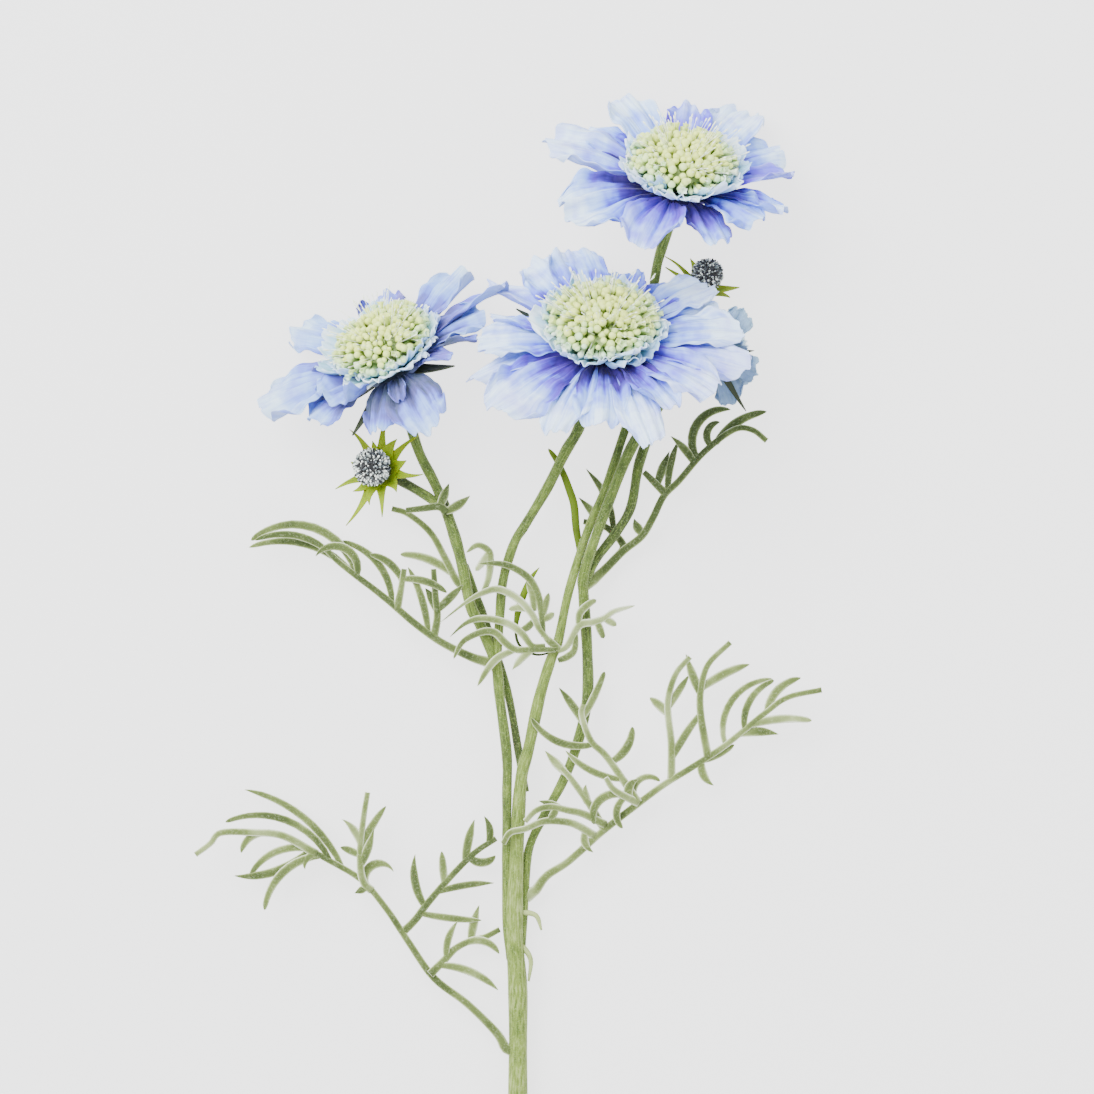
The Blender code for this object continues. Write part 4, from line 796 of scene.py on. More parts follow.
bump = add_node(tree, "Bump", {"Strength": 0.5, "Distance": 0.0002}, {"Height": specks.outputs["Fac"]})
tree.links.new(bump.outputs[0], shader.inputs["Normal"])

chance = np.random.default_rng(13)
for bud, bracts in BRACTS.items():
    shapes = [turned(BUD_CUP, BUD_CUP_SIDES, {"paleness": -0.1})]
    shapes += [bract_blade(*bract, chance.uniform(-0.9, 0.9)) for bract in bracts]
    for shape in shapes:
        shape["grid"] = in_place(shape["grid"], bud)
    grown(bud + "_star", shapes, bract_finish, (bud + "_bracts",), CRISP_EDGE)

    radius = BUD_HEAD_RADIUS[bud]
    middle = np.array((0, 0, BUD_HEAD_FOOT + radius))
    inner = radius * BUD_BALL_SHARE
    shade_ball = [(inner * math.sin(angle), middle[2] + inner * math.cos(angle))
            for angle in np.linspace(0, math.pi, BUD_BALL_RINGS)]
    step = np.arange(BUD_FLORETS) + 0.5
    height = 1 - BUD_COVER * step / BUD_FLORETS
    turn = step * GOLDEN_ANGLE
    spread = np.sqrt(1 - height ** 2)
    out = np.stack([spread * np.cos(turn), spread * np.sin(turn), height], 1)
    out = unit(out + chance.normal(0, 0.06, out.shape))
    lengths = radius * chance.uniform(0.17, 0.32, BUD_FLORETS)
    widths = radius * chance.uniform(0.038, 0.07, BUD_FLORETS)
    florets = knobs(middle + out * radius * BUD_ROOT_SHARE, out, lengths, widths, *BUD_FLORET_FORM,
                    {"meal": chance.uniform(-0.35, 0.65, BUD_FLORETS)})
    # The ball between the florets takes the lowest meal, near black, as painted shade in their gaps.
    shapes = [turned(shade_ball, BUD_BALL_SIDES, {"meal": -0.3}), florets]
    for shape in shapes:
        shape["grid"] = in_place(shape["grid"], bud)
    grown(bud + "_florets", shapes, bud_finish, (bud + "_head",))

# The calyxes. Under each bloom a green cup holds it on its branch, with a few pointed dark sepals that show
# between the petals. The cup is turned, and each sepal is a thin blade creased along its midrib.

# Size of each bloom's cup, rings and head beside those of the largest one.
SIZES = {"bloom_centre": 1.0, "bloom_top": 0.97, "bloom_left": 0.93, "bloom_rear": 0.5}
# Azimuth in degrees, reach and tip height of each sepal.
SEPALS = {
    "bloom_centre": (
        (150, 27, -1.5), (100, 18, -6), (55, 18, -6), (10, 18, -7), (-35, 18, -8), (-80, 18, -9),
        (-125, 18, -8),
    ),
    "bloom_top": (
        (-68, 15, -5.5), (-150, 21.5, -6), (-108, 18, -8), (175, 18, -6), (135, 18, -6), (90, 18, -6),
        (45, 18, -6), (0, 18, -6),
    ),
    "bloom_left": (
        (-45, 20.5, -4), (-147, 22.4, -9.6), (-85, 16, -8), (180, 17, -7), (130, 17, -6), (80, 17, -6),
        (20, 17, -6),
    ),
    "bloom_rear": (
        (-2, 18, -3), (-68, 13, -3), (60, 10, -3), (120, 10, -3), (180, 10, -3), (-130, 12, -3),
    ),
}
# Radius and height along the cup, from its top.
CUP_PROFILE = (
    (0, -4.5), (8, -4.5), (8.1, -5.0), (7.6, -5.7), (6.8, -6.6), (5.4, -7.9), (3.6, -8.8), (2.6, -9), (0, -9),
)
CUP_SIDES = 28
# The underside of the floret disc that the cup holds, and the gap between the two at every size.
DISC_UNDER_Z, CUP_GAP = -4.0, 0.5
SEPAL_ROOT, SEPAL_WIDTH, SEPAL_THICKNESS = 5, 4.6, 0.4
SEPAL_ROWS, SEPAL_COLUMNS = 16, 7


def sepal_blade(azimuth, reach, tip_z, size):
    """A sepal, with s along it and t across it. Its height runs straight from root to tip and sags between
    them as a parabola; half its width falls off to its tip as the power 1.8; the crease lowers its middle."""
    top = DISC_UNDER_Z * size - CUP_GAP
    root, root_z = SEPAL_ROOT * size, top - 0.8 * size
    s = np.linspace(0, 1, SEPAL_ROWS)[:, None]
    t = np.linspace(-1, 1, SEPAL_COLUMNS)[None, :]
    half = SEPAL_WIDTH * size / 2 * (1 - 0.96 * s ** 1.8)
    height = root_z * (1 - s) + tip_z * s - 1.5 * size * s * (1 - s)
    height = height + 0.4 * size * (np.abs(t) - 0.5) * (1 - s)
    out = root + (reach - root) * s
    return blade(polar(azimuth, out, half * t, height), SEPAL_THICKNESS, {})


# Thick dark green tissue with fine lengthwise veins about 0.2 mm apart, almost black between them.
sepal_finish, tree, shader = new_finish("dark green sepal", {"Roughness": 0.6})
place = add_node(tree, "TexCoord", {}, {}).outputs
veins = add_node(tree, "Mapping", {"Scale": (14.0, 1.2, 1.0)}, {"Vector": place["UV"]})
veins = add_node(tree, "TexNoise", {"Scale": 1.5, "Detail": 3.0}, {"Vector": veins.outputs[0]})
colour = add_node(tree, "ValToRGB", {"stops": (
    (0.3, "#141B06"), (0.55, "#27330D"), (0.8, "#42501A"),
)}, {"Fac": veins.outputs["Fac"]})
tree.links.new(colour.outputs["Color"], shader.inputs["Base Color"])
bump = add_node(tree, "Bump", {"Strength": 0.3, "Distance": 0.0002}, {"Height": veins.outputs["Fac"]})
tree.links.new(bump.outputs[0], shader.inputs["Normal"])

for bloom, sepals in SEPALS.items():
    size = SIZES[bloom]
    cup = [(radius * size, (height + CUP_GAP) * size - CUP_GAP) for radius, height in CUP_PROFILE]
    shapes = [turned(cup, CUP_SIDES, {})] + [sepal_blade(*sepal, size) for sepal in sepals]
    for shape in shapes:
        shape["grid"] = in_place(shape["grid"], bloom)
    grown(bloom + "_sepals", shapes, sepal_finish, (bloom + "_calyx",), CRISP_EDGE)

# The outer petals. Large, thin, soft petals in one ring, deep violet-blue in the throat and pale periwinkle
# towards the edge. Each grew from the floret disc under the head, is pleated lengthwise from its narrow
# claw, and is ruffled and torn a little along its edge.

# Azimuth in degrees, reach, width, tip height, cupping, twist in degrees, how far the tip curls up, how much
# an edge rolls over (its sign says which), how violet it is from 0 to 1, and how far the dark throat runs on.
PETALS = {
    "bloom_centre": (
        (-175, 34, 16, -1, 0.5, 0, 0, 0, 0.1, -0.05),
        (168, 31, 8, 2, 0.5, 25, 0, 0, 0.3, 0),
        (147, 37, 7, 0, 0.5, 12, 1, 0.8, 0.4, 0.1),
        (124, 36, 15, 2, 0.5, -6, 0, 0.3, 0.1, 0),
        (106, 34, 16, 3, 1, 0, 0, 0.3, 0.15, 0.1),
        (86, 28, 12, 1, -1, 0, 0, 0, 0.2, 0.1),
        (65, 25, 9, 2, 0.5, 0, 1, -0.6, 0.3, 0.1),
        (50, 30, 10, 1, -1, -5, 0, 0, 0.3, 0.1),
        (33, 36, 14, 0, 0.5, -9, 0, 0, 0.1, 0),
        (15, 36, 16, 0, 0.5, 4, 0, 0, 0, 0),
        (1, 39, 14, 0, 0.5, 0, 0, 0, 0.1, 0),
        (-13, 41, 17, -1, 0.5, 2, 0, 0, 0.5, 0.08),
        (-37, 38, 16, -2, 0.5, 0, 0, 0, 0.4, 0.08),
        (-57, 35, 12, -1, 0.5, -8, 0, 0, 0.2, 0.05),
        (-71, 42, 12, -5, -1, -5, -1, 0.3, 0.2, 0.1),
        (-91, 34, 15, -2, 1, 0, -1, 0, 0.1, 0.05),
        (-111, 38, 13, -5, -1, 5, -1, 0, 0.1, 0),
        (-136, 41, 19, -2, 0.5, 0, 0, 0, 0.3, 0.05),
        (-163, 38, 11, -6, -0.5, 25, -1, -0.5, 0.3, 0.1),
    ),
    "bloom_top": (
        (171, 38, 18, 1, 0.5, -10, 0, 0.4, 0.3, 0),
        (150, 33, 13, 1, 0, 0, 0, 0, 0.1, 0.15),
        (123, 36, 15, 3, 1, 4, 0, 0, 0, 0),
        (89, 32, 13, 3, 1.5, 0, 1, 0.5, 0.7, 0.1),
        (62, 37, 16, 2, 0.5, -6, 0, 0, 0.1, 0),
        (36, 33, 16, 1, 0.5, 6, 0, 0, 0, 0),
        (4, 31, 10, 2, 0.5, -35, 1, 0.8, 0.9, 0.1),
        (-16, 31, 9, -1, 0.5, -15, 1, 0.5, 0.1, 0),
        (-34, 28, 14, -2, 0.5, 0, 0, 0, 0, 0),
        (-62, 27, 12, -4, 0.5, -8, 0, 0, 0.2, 0.1),
        (-108, 29, 18, -6, 2, 0, -1, 0.4, 0.6, 0.15),
        (-146, 37, 18, -2, 0.5, -16, 0, 0, 0, 0.05),
    ),
    "bloom_left": (
        (28, 34, 14, 2, 1, -5, 0, 0.3, 0.1, 0),
        (-1, 38, 9, 2, 1, -35, 1, 0.7, 0.5, 0.1),
        (-10, 29, 15, -1, 0.5, 4, 0, 0, 0.1, 0),
        (-24, 26, 8, -1, 0.5, -45, 0, 0, 0.3, 0.2),
        (-47, 22, 8, -1, 0.5, -20, 0, 0, 0.6, 0.1),
        (-88, 33, 16, -6, 0.5, 0, -1, 0, 0.1, 0.1),
        (-97, 23, 5, -2, 1, 0, 0, 0.6, 0.2, 0.1),
        (-119, 25, 10, -6, 0.5, 5, 0, 0, 0.1, 0),
        (-153, 24, 18, 1, 0.5, -8, 1, 0.4, 0, -0.45),
        (-168, 28, 14, -3, 0.5, -8, 0, 0, 0.1, 0),
        (171, 38, 17, -1, 0.5, -14, 0, 0, 0.2, 0.1),
        (152, 25, 7, 1, 0.5, 20, 1, 0.7, 0.7, 0.1),
        (129, 33, 14, 4.5, 0.5, -3, 0, 0, 0.1, 0),
        (75, 26.4, 14, 3, 0.5, 0, 0, -0.5, 0.5, 0.1),
    ),
    "bloom_rear": (
        (-113, 16, 8, -1, 0.5, 0, 0, 0, 0, 0),
        (-72, 10.5, 7, -1, 0, 3, 0, 0, 0, 0),
        (-32, 14, 9, -1, 0, 3, 0, 0, 0, 0),
        (10, 15, 9, -1, 0, -3, 0, 0, 0, 0),
        (55, 12, 8, -1, 0, 3, 0, 0, 0, 0),
        (100, 11, 8, -1, 0, -3, 0, 0, 0, 0),
        (148, 11, 8, -1, 0, 3, 0, 0, 0, 0),
        (-160, 12, 8, -1, 0, 3, 0, 0, 0, 0),
    ),
}
PETAL_THICKNESS = 0.26
PETAL_ROWS, PETAL_COLUMNS = 36, 35
PETAL_ROOT, PETAL_ROOT_Z = 8.0, -3.3
# Every second petal lies over its neighbours, by this much at its tip, give or take a random share.
LAYER_LIFT, LAYER_SCATTER = 0.9, 0.5
# Where across a petal its rolled edge starts, and how tightly it rolls.
ROLL_START, ROLL_BEND = 0.4, 0.42
# How far out the throat's dark blue is half gone, and the length over which the throat mark grows by 1.
THROAT_REACH, THROAT_FADE = 17.0, 20
# Painted light and shade on the throat mark: how much paler the sides and the claw are painted on a petal
# that lies over its neighbours, as if lit, and on one under them, where the negative numbers paint shade.
OVER_SIDES_LIGHT, OVER_CLAW_LIGHT = 0.08, 0.28
UNDER_SIDES_SHADE, UNDER_CLAW_SHADE = -0.22, -0.22
# A fine pale rim along each petal's sides, a painted highlight, and how far across the petal it starts.
RIM_HIGHLIGHT, RIM_HIGHLIGHT_START = 0.16, 0.97
# The floret disc that carries the petals and the head: radius and height along it, from its top.
DISC_TOP_Z, DISC_RADIUS, DISC_SIDES = -2.6, 9.5, 40
FLORET_DISC = ((0, DISC_TOP_Z), (DISC_RADIUS, DISC_TOP_Z), (DISC_RADIUS, DISC_UNDER_Z), (0, DISC_UNDER_Z))
# The height over the floor below which petals are lifted off it.
FLOOR_MARGIN = 0.4
# Each petal's uv starts at a random place up to this far out, so that no two show the same veins.
UV_STARTS = 40


def ragged(places, count, chance):
    """A torn outline: random depths at evenly spaced places from -1 to 1, joined by straight lines."""
    return np.interp(places, np.linspace(-1, 1, count), chance.uniform(0, 1, count))


def petal_blade(petal, size, layer, chance):
    """An outer petal, with s along it from 0 to 1 and t across it from -1 to 1. Its half width grows from a
    narrow claw as a sine and rounds off at the tip. It runs out to its reach less a share of t squared and of
    t to the sixth, and less a torn outline of wide lobes and fine teeth near the tip. Its height is a line
    from root to tip with a low arch, plus the cupping as t squared, the curl as s to the fourth, the lift of
    its layer, soft, sharp and fine pleats, which are cosines across it, the sharp one without its sign, and
    ruffles, which are sines along its two sides and round its tip. The edge that rolls follows an arc up and
    over. Last it is leant by its twist."""
    azimuth, reach, width, tip_z, cup, twist, curl, roll, violet, throat = petal
    s = np.linspace(0, 1, PETAL_ROWS)[:, None]
    t = np.linspace(-1, 1, PETAL_COLUMNS)[None, :]
    root, root_z = PETAL_ROOT * size, PETAL_ROOT_Z * size
    phase = chance.uniform(0, 2 * np.pi, 9)
    side_tears = np.where(t > 0, ragged(2 * s - 1, 13, chance), ragged(2 * s - 1, 13, chance)) - 0.5
    half = width / 2 * (0.24 + 0.76 * np.sin(np.minimum(s / 0.78, 1) * np.pi / 2))
    half = half * (1 - 0.14 * np.clip((s - 0.84) / 0.16, 0, 1) ** 2)
    half = half * (1 + s * (0.07 * np.sin(9 * s + phase[0] + (t > 0) * 2.0) + 0.11 * side_tears))
    torn = (0.09 * width + 0.7) * ragged(t, 9, chance) ** 1.7 + 0.8 * ragged(t, 25, chance)
    out = root + (reach * (1.02 - 0.1 * t * t - 0.07 * t ** 6) - root) * s - torn * s ** 7
    height = root_z * (1 - s) + tip_z * s + 0.24 * (reach - root) * s * (1 - s) + cup * t * t * s
    height = height + 0.5 * np.cos(2 * np.pi * t) * s * s + curl * s ** 4 + layer * s
    fold = 0.25 + 0.75 * np.sin(np.pi * np.minimum(s * 1.1, 0.85))
    height = height + fold * width * (
        0.045 * np.cos(2.3 * np.pi * t + phase[1])
        + 0.075 * np.abs(np.cos(1.7 * np.pi * t + phase[2]))
        + 0.014 * np.cos(8.3 * np.pi * t + phase[3]))
    ruffle = np.sin(10 * s + np.where(t > 0, phase[4], phase[5])) + 0.6 * np.sin(23 * s + phase[6])
    height = height + 0.08 * width * np.abs(t) ** 2.5 * s * ruffle
    height = height + width * (0.07 * s ** 3 * np.sin(4.5 * t + phase[7])
                               + 0.045 * s ** 5 * np.sin(12 * t + phase[8]))
    side = half * t
    if roll:
        past = np.maximum(t * math.copysign(1, roll) - ROLL_START, 0) * half
        bend = ROLL_BEND * abs(roll) * s + 1e-3
        side = side - math.copysign(1, roll) * (past - np.sin(past * bend) / bend)
        height = height + (1 - np.cos(past * bend)) / bend
    lean = np.radians(twist) * s
    grid = polar(azimuth, out, side * np.cos(lean), height + side * np.sin(lean))
    # The throat mark is 0 where the throat's colour is half gone, and larger further out. Sharp pleats are
    # painted deeper along their valleys as painted shade. A petal that lies under its neighbours is painted
    # deeper towards its sides and its claw as painted shade, one that lies over them is painted paler there
    # as painted light, and each has a fine pale rim, a painted highlight. The under mark is 0 on the upper
    # face and 1 on the lower.
    valley_shade = (1 - np.abs(np.cos(1.7 * np.pi * t + phase[2]))) ** 3 * np.sin(np.pi * s ** 0.8)
    over = layer > 0
    sides = (OVER_SIDES_LIGHT if over else UNDER_SIDES_SHADE) * np.abs(t) ** 3 + RIM_HIGHLIGHT * (np.abs(t) > RIM_HIGHLIGHT_START)
    sides = sides + (OVER_CLAW_LIGHT * (1 - t * t) if over else UNDER_CLAW_SHADE) * (1 - s) ** 1.3
    reached = (out - THROAT_REACH * size) / THROAT_FADE
    marks = {
        "throat": reached - throat * 0.6 - 0.2 * valley_shade + sides + chance.normal(0, 0.05),
        "violet": np.clip(violet * (1.1 - 0.5 * s), 0, 1),
        "under": np.array((0.0, 1.0))[:, None, None],
        "grey": 0.0,
    }
    shape = blade(grid, PETAL_THICKNESS, marks)
    # The uv is in centimetres.
    shape["uv"] = (shape["uv"] - (0.5, 0)) * (width / 10, reach / 10) + chance.uniform(0, UV_STARTS, 2)
    return shape


def above_floor(points):
    """Points whose height is kept over the floor: under the margin it fades towards 0 as an exponential."""
    low = points[..., 2]
    lifted = FLOOR_MARGIN * np.exp(np.minimum(low - FLOOR_MARGIN, 0) / FLOOR_MARGIN)
    points[..., 2] = np.where(low < FLOOR_MARGIN, lifted, low)
    return points


# Petal tissue: thin, soft and matt, a little translucent. The colour runs from the indigo throat to the pale
# periwinkle edge along fine veins that fan out from the claw, with cloudy violet and whitish patches. The
# lower face is a stronger blue. Strong light washes colour out, so these are deeper than they look.
petal_finish, tree, shader = new_finish("soft blue petal", {
    "Roughness": 0.65, "Specular IOR Level": 0.2, "Sheen Weight": 0.15, "Sheen Roughness": 0.4,
    "Subsurface Weight": 0.2, "Subsurface Scale": 0.001, "Subsurface Radius": (0.9, 0.9, 1.0),
})
uv = add_node(tree, "TexCoord", {}, {}).outputs["UV"]
throat, violet, under, grey = (
    add_node(tree, "Attribute", {"attribute_name": mark}, {}).outputs["Fac"]
    for mark in ("throat", "violet", "under", "grey")
)
# The uv counts in centimetres: veins lie about 0.8 mm apart and run the petal's length, broad streaks 3 mm
# apart run between them, and clouds are about 6 mm across.
fan = add_node(tree, "Mapping", {"Scale": (12.0, 0.6, 1.0)}, {"Vector": uv})
veins = add_node(tree, "TexNoise", {"Scale": 1.0, "Detail": 3.0, "Roughness": 0.6},
                 {"Vector": fan.outputs[0]})
fan = add_node(tree, "Mapping", {"Scale": (3.2, 0.5, 1.0)}, {"Vector": uv})
streaks = add_node(tree, "TexNoise", {"Scale": 1.0, "Detail": 2.0}, {"Vector": fan.outputs[0]})
clouds = add_node(tree, "TexNoise", {"Scale": 1.7, "Detail": 2.0}, {"Vector": uv})
# Each pattern is stretched to run from -0.5 to 0.5.
fine, broad, cloud = (
    add_node(tree, "MapRange", {"From Min": 0.3, "From Max": 0.7, "To Min": -0.5, "To Max": 0.5},
             {"Value": pattern.outputs["Fac"]}).outputs[0]
    for pattern in (veins, streaks, clouds)
)
# Besides the throat's colour, the throat mark carries painted shade in pleat valleys and under neighbouring
# petals, and painted light on petals that lie over others.
reach = add_node(tree, "Math", {"operation": "MULTIPLY_ADD", 1: 0.16}, {0: fine, 2: throat}).outputs[0]
reach = add_node(tree, "Math", {"operation": "MULTIPLY_ADD", 1: 0.26}, {0: broad, 2: reach}).outputs[0]
reach = add_node(tree, "Math", {"operation": "MULTIPLY_ADD", 1: 0.26}, {0: cloud, 2: reach}).outputs[0]
reach = add_node(tree, "Math", {"operation": "ADD", 1: 0.32}, {0: reach}).outputs[0]
blue = add_node(tree, "ValToRGB", {"stops": (
    (0.0, "#241858"), (0.12, "#382A8A"), (0.25, "#4C48BC"), (0.38, "#667CE8"), (0.54, "#86A8F0"),
    (0.76, "#A6C6F5"), (1.0, "#CBE2F9"),
)}, {"Fac": reach})
patch = add_node(tree, "Math", {"operation": "MULTIPLY_ADD", 1: -0.5}, {0: cloud, 2: violet})
patch = add_node(tree, "Math", {"operation": "MULTIPLY", 1: 0.85, "use_clamp": True}, {0: patch.outputs[0]})
tint = add_node(tree, "Mix", {"data_type": "RGBA", 7: linear("#7146DC")},
                {0: patch.outputs[0], 6: blue.outputs["Color"]})
below = add_node(tree, "Math", {"operation": "MULTIPLY", 1: 0.5}, {0: under})
lower = add_node(tree, "Mix", {"data_type": "RGBA", "blend_type": "MULTIPLY", 7: linear("#8E92DC")},
                 {0: below.outputs[0], 6: tint.outputs[2]})
streak = add_node(tree, "MapRange", {"From Min": 0.1, "From Max": -0.4, "To Max": 0.4}, {"Value": fine})
veined = add_node(tree, "Mix", {"data_type": "RGBA", "blend_type": "MULTIPLY", 7: linear("#9FB0EC")},
                  {0: streak.outputs[0], 6: lower.outputs[2]})
colour = add_node(tree, "Mix", {"data_type": "RGBA", 7: linear("#8BA8A4")}, {0: grey, 6: veined.outputs[2]})
tree.links.new(colour.outputs[2], shader.inputs["Base Color"])
ridge = add_node(tree, "Math", {"operation": "MULTIPLY_ADD", 1: 2.0}, {0: broad, 2: fine})
bump = add_node(tree, "Bump", {"Strength": 0.5, "Distance": 0.0003}, {"Height": ridge.outputs[0]})
tree.links.new(bump.outputs[0], shader.inputs["Normal"])

# How far each bloom's petals are mixed towards grey-green: on the left bloom this is painted shade, which
# dulls its petals as if they lay in shade; the rear bloom's petals are grey-green.
PETAL_GREY_AND_SHADE = {"bloom_centre": 0.0, "bloom_top": 0.0, "bloom_left": 0.22, "bloom_rear": 0.7}
# How much further out each bloom's deep blue runs, on the throat mark: on the left bloom this deepening is
# mostly painted shade.
PETAL_DEPTH_AND_SHADE = {"bloom_centre": 0.05, "bloom_top": 0.04, "bloom_left": 0.28, "bloom_rear": 0.0}
for order, (bloom, petals) in enumerate(PETALS.items()):
    chance = np.random.default_rng(20 + order)
    size = SIZES[bloom]
    disc = [(radius * size, height * size) for radius, height in FLORET_DISC]
    shapes = []
    for number, petal in enumerate(petals):
        layer = size * (LAYER_LIFT * (-1) ** number + chance.uniform(-LAYER_SCATTER, LAYER_SCATTER))
        shapes.append(petal_blade(petal, size, layer, chance))
    shapes.append(turned(disc, DISC_SIDES, {"throat": -0.3, "violet": 0.0, "under": 0.0, "grey": 0.0}))
    for shape in shapes:
        shape["grid"] = above_floor(in_place(shape["grid"], bloom))
        shape["marks"]["grey"] = shape["marks"]["grey"] + PETAL_GREY_AND_SHADE[bloom]
        shape["marks"]["throat"] = shape["marks"]["throat"] - PETAL_DEPTH_AND_SHADE[bloom]
    grown(bloom + "_outer", shapes, petal_finish, (bloom + "_petals",), CRISP_EDGE)

# The inner petals. A collar of short pale petals round the head, mint and ice blue, each torn into a few
# teeth at its end. They overlap at their claws and rise outwards as a shallow dish.

INNER_COUNTS = {"bloom_centre": 10, "bloom_top": 10, "bloom_left": 10, "bloom_rear": 7}
INNER_ROWS, INNER_COLUMNS = 20, 27
INNER_ROOT, INNER_THICKNESS = 5.8, 0.24
# How far the roots stand over the floret disc, at every size.
INNER_ROOT_RISE = 0.85
# Reach and lift of a wide ring, and of a shorter one within it that stands higher.
INNER_RINGS = ((20.2, 0.0), (17.6, 1.6))
# Where the dish of petals starts to rise, the length over which it rises, and how high.
DISH_START, DISH_RUN, DISH_HEIGHT = 7.5, 12, 5.0


def inner_blade(azimuth, count, reach, lift, size, chance):
    """An inner petal, with s along it and t across it. Half its angle round the axis widens as a sine and
    closes at the end; its outline is torn into deep lobes and fine teeth. Its height follows how far out it
    is: flat at first, then rising as the power 1.2, plus its ring's lift, a cupping of its sides, a tilt of
    its own, pleats as cosines across it and ruffles that grow towards its edge."""
    s = np.linspace(0, 1, INNER_ROWS)[:, None]
    t = np.linspace(-1, 1, INNER_COLUMNS)[None, :]
    phase = chance.uniform(0, 2 * np.pi, 4)
    reach = reach + chance.uniform(-1.6, 1.4)
    torn = 2.4 * ragged(t, 7, chance) ** 1.6 + 1.1 * ragged(t, 19, chance)
    out = INNER_ROOT + (reach - 1.4 * t * t - INNER_ROOT) * s - torn * s ** 4
    spread = 180 / count * (1.15 + chance.uniform(-0.1, 0.35))
    spread = spread * (0.72 + 0.28 * np.sin(np.pi * s * 0.8))
    spread = spread * (1 - 0.3 * np.clip((s - 0.7) / 0.3, 0, 1) ** 2)
    spread = spread * (1 + 0.1 * s * np.sin(9 * s + phase[3] + (t > 0) * 2))
    rise = (np.maximum(out - DISH_START, 0) / DISH_RUN) ** 1.2
    root_z = DISC_TOP_Z + INNER_ROOT_RISE / size
    height = root_z * (1 - rise) + DISH_HEIGHT * rise + lift * s
    height = height + s * s * (chance.uniform(-1.2, 1.6) + chance.uniform(-0.6, 2.0) * t * t
                               + chance.normal(0, 0.7) * t)
    height = height + s * (0.6 * np.cos(3.3 * np.pi * t + phase[0])
                           + 0.7 * np.abs(np.cos(2.4 * np.pi * t + phase[1])))
    height = height + s * np.abs(t) ** 2.5 * np.sin(9 * s + phase[2])
    turn = np.radians(azimuth + spread * t)
    grid = np.stack([out * np.cos(turn), out * np.sin(turn), height], -1) * size
    marks = {"edge": s + chance.normal(0, 0.08), "tone": chance.uniform(0, 1)}
    shape = blade(grid, INNER_THICKNESS, marks)
    # The uv is in centimetres, as on the outer petals, for a petal of about 12 by 14 mm.
    shape["uv"] = (shape["uv"] - (0.5, 0)) * (1.2, 1.4) + chance.uniform(0, UV_STARTS, 2)
    return shape


# The same tissue as the outer petals, but almost without blue: grey-green at the claw, partly mint and partly
# painted shade from the head over it, ice blue at the edge, with veins about 1 mm apart and clouds about 4 mm
# across.
inner_finish, tree, shader = new_finish("pale mint petal", {
    "Roughness": 0.65, "Specular IOR Level": 0.2, "Sheen Weight": 0.15, "Sheen Roughness": 0.4,
    "Subsurface Weight": 0.2, "Subsurface Scale": 0.001, "Subsurface Radius": (0.9, 1.0, 0.95),
})
uv = add_node(tree, "TexCoord", {}, {}).outputs["UV"]
edge, tone = (
    add_node(tree, "Attribute", {"attribute_name": mark}, {}).outputs["Fac"] for mark in ("edge", "tone")
)
fan = add_node(tree, "Mapping", {"Scale": (10.0, 0.8, 1.0)}, {"Vector": uv})
veins = add_node(tree, "TexNoise", {"Scale": 1.0, "Detail": 3.0}, {"Vector": fan.outputs[0]})
clouds = add_node(tree, "TexNoise", {"Scale": 2.5, "Detail": 2.0}, {"Vector": uv})
reach = add_node(tree, "Math", {"operation": "MULTIPLY_ADD", 1: 0.5}, {0: veins.outputs["Fac"], 2: edge})
reach = add_node(tree, "Math", {"operation": "MULTIPLY_ADD", 1: 0.6},
                 {0: clouds.outputs["Fac"], 2: reach.outputs[0]})
# Lowering the mark darkens the whole collar, partly as painted shade.
reach = add_node(tree, "Math", {"operation": "SUBTRACT", 1: 0.64}, {0: reach.outputs[0]})
mint = add_node(tree, "ValToRGB", {"stops": (
    (0.05, "#4C7A60"), (0.3, "#74A692"), (0.52, "#8EBCC8"), (0.72, "#B0D4E6"), (0.92, "#E4F2F6"),
)}, {"Fac": reach.outputs[0]})
shift = add_node(tree, "Math", {"operation": "MULTIPLY", 1: 0.6}, {0: tone})
colour = add_node(tree, "Mix", {"data_type": "RGBA", "blend_type": "MULTIPLY", 7: linear("#A9BEF0")},
                  {0: shift.outputs[0], 6: mint.outputs["Color"]})
tree.links.new(colour.outputs[2], shader.inputs["Base Color"])
bump = add_node(tree, "Bump", {"Strength": 0.45, "Distance": 0.0003}, {"Height": veins.outputs["Fac"]})
tree.links.new(bump.outputs[0], shader.inputs["Normal"])

for order, (bloom, count) in enumerate(INNER_COUNTS.items()):
    chance = np.random.default_rng(30 + order)
    shapes = []
    for ring, (reach, lift) in enumerate(INNER_RINGS):
        for azimuth in -180 + 360 / count * (np.arange(count) + 0.5 * ring):
            shape = inner_blade(azimuth + chance.uniform(-7, 7), count, reach, lift, SIZES[bloom], chance)
            shape["grid"] = in_place(shape["grid"], bloom)
            shapes.append(shape)
    grown(bloom + "_inner", shapes, inner_finish, (bloom + "_inner_petals",), CRISP_EDGE)

# The heads. Each is a cushion packed with waxy florets, pale yellow-green in the middle and mint towards the
# rim, most of them closed and round-ended and some of them open, with thin whitish stamens between them.
# They grew in a spiral on a domed base.

FLORET_COUNTS = {"bloom_centre": 270, "bloom_top": 265, "bloom_left": 255, "bloom_rear": 80}
# Stamens grow from a lower dome: half its width, the height of its foot, and its rise.
STAMEN_COUNT, STAMEN_RADIUS = 90, 0.2
STAMEN_SPREAD, STAMEN_FOOT, STAMEN_RISE = 11.5, 4.5, 5.0
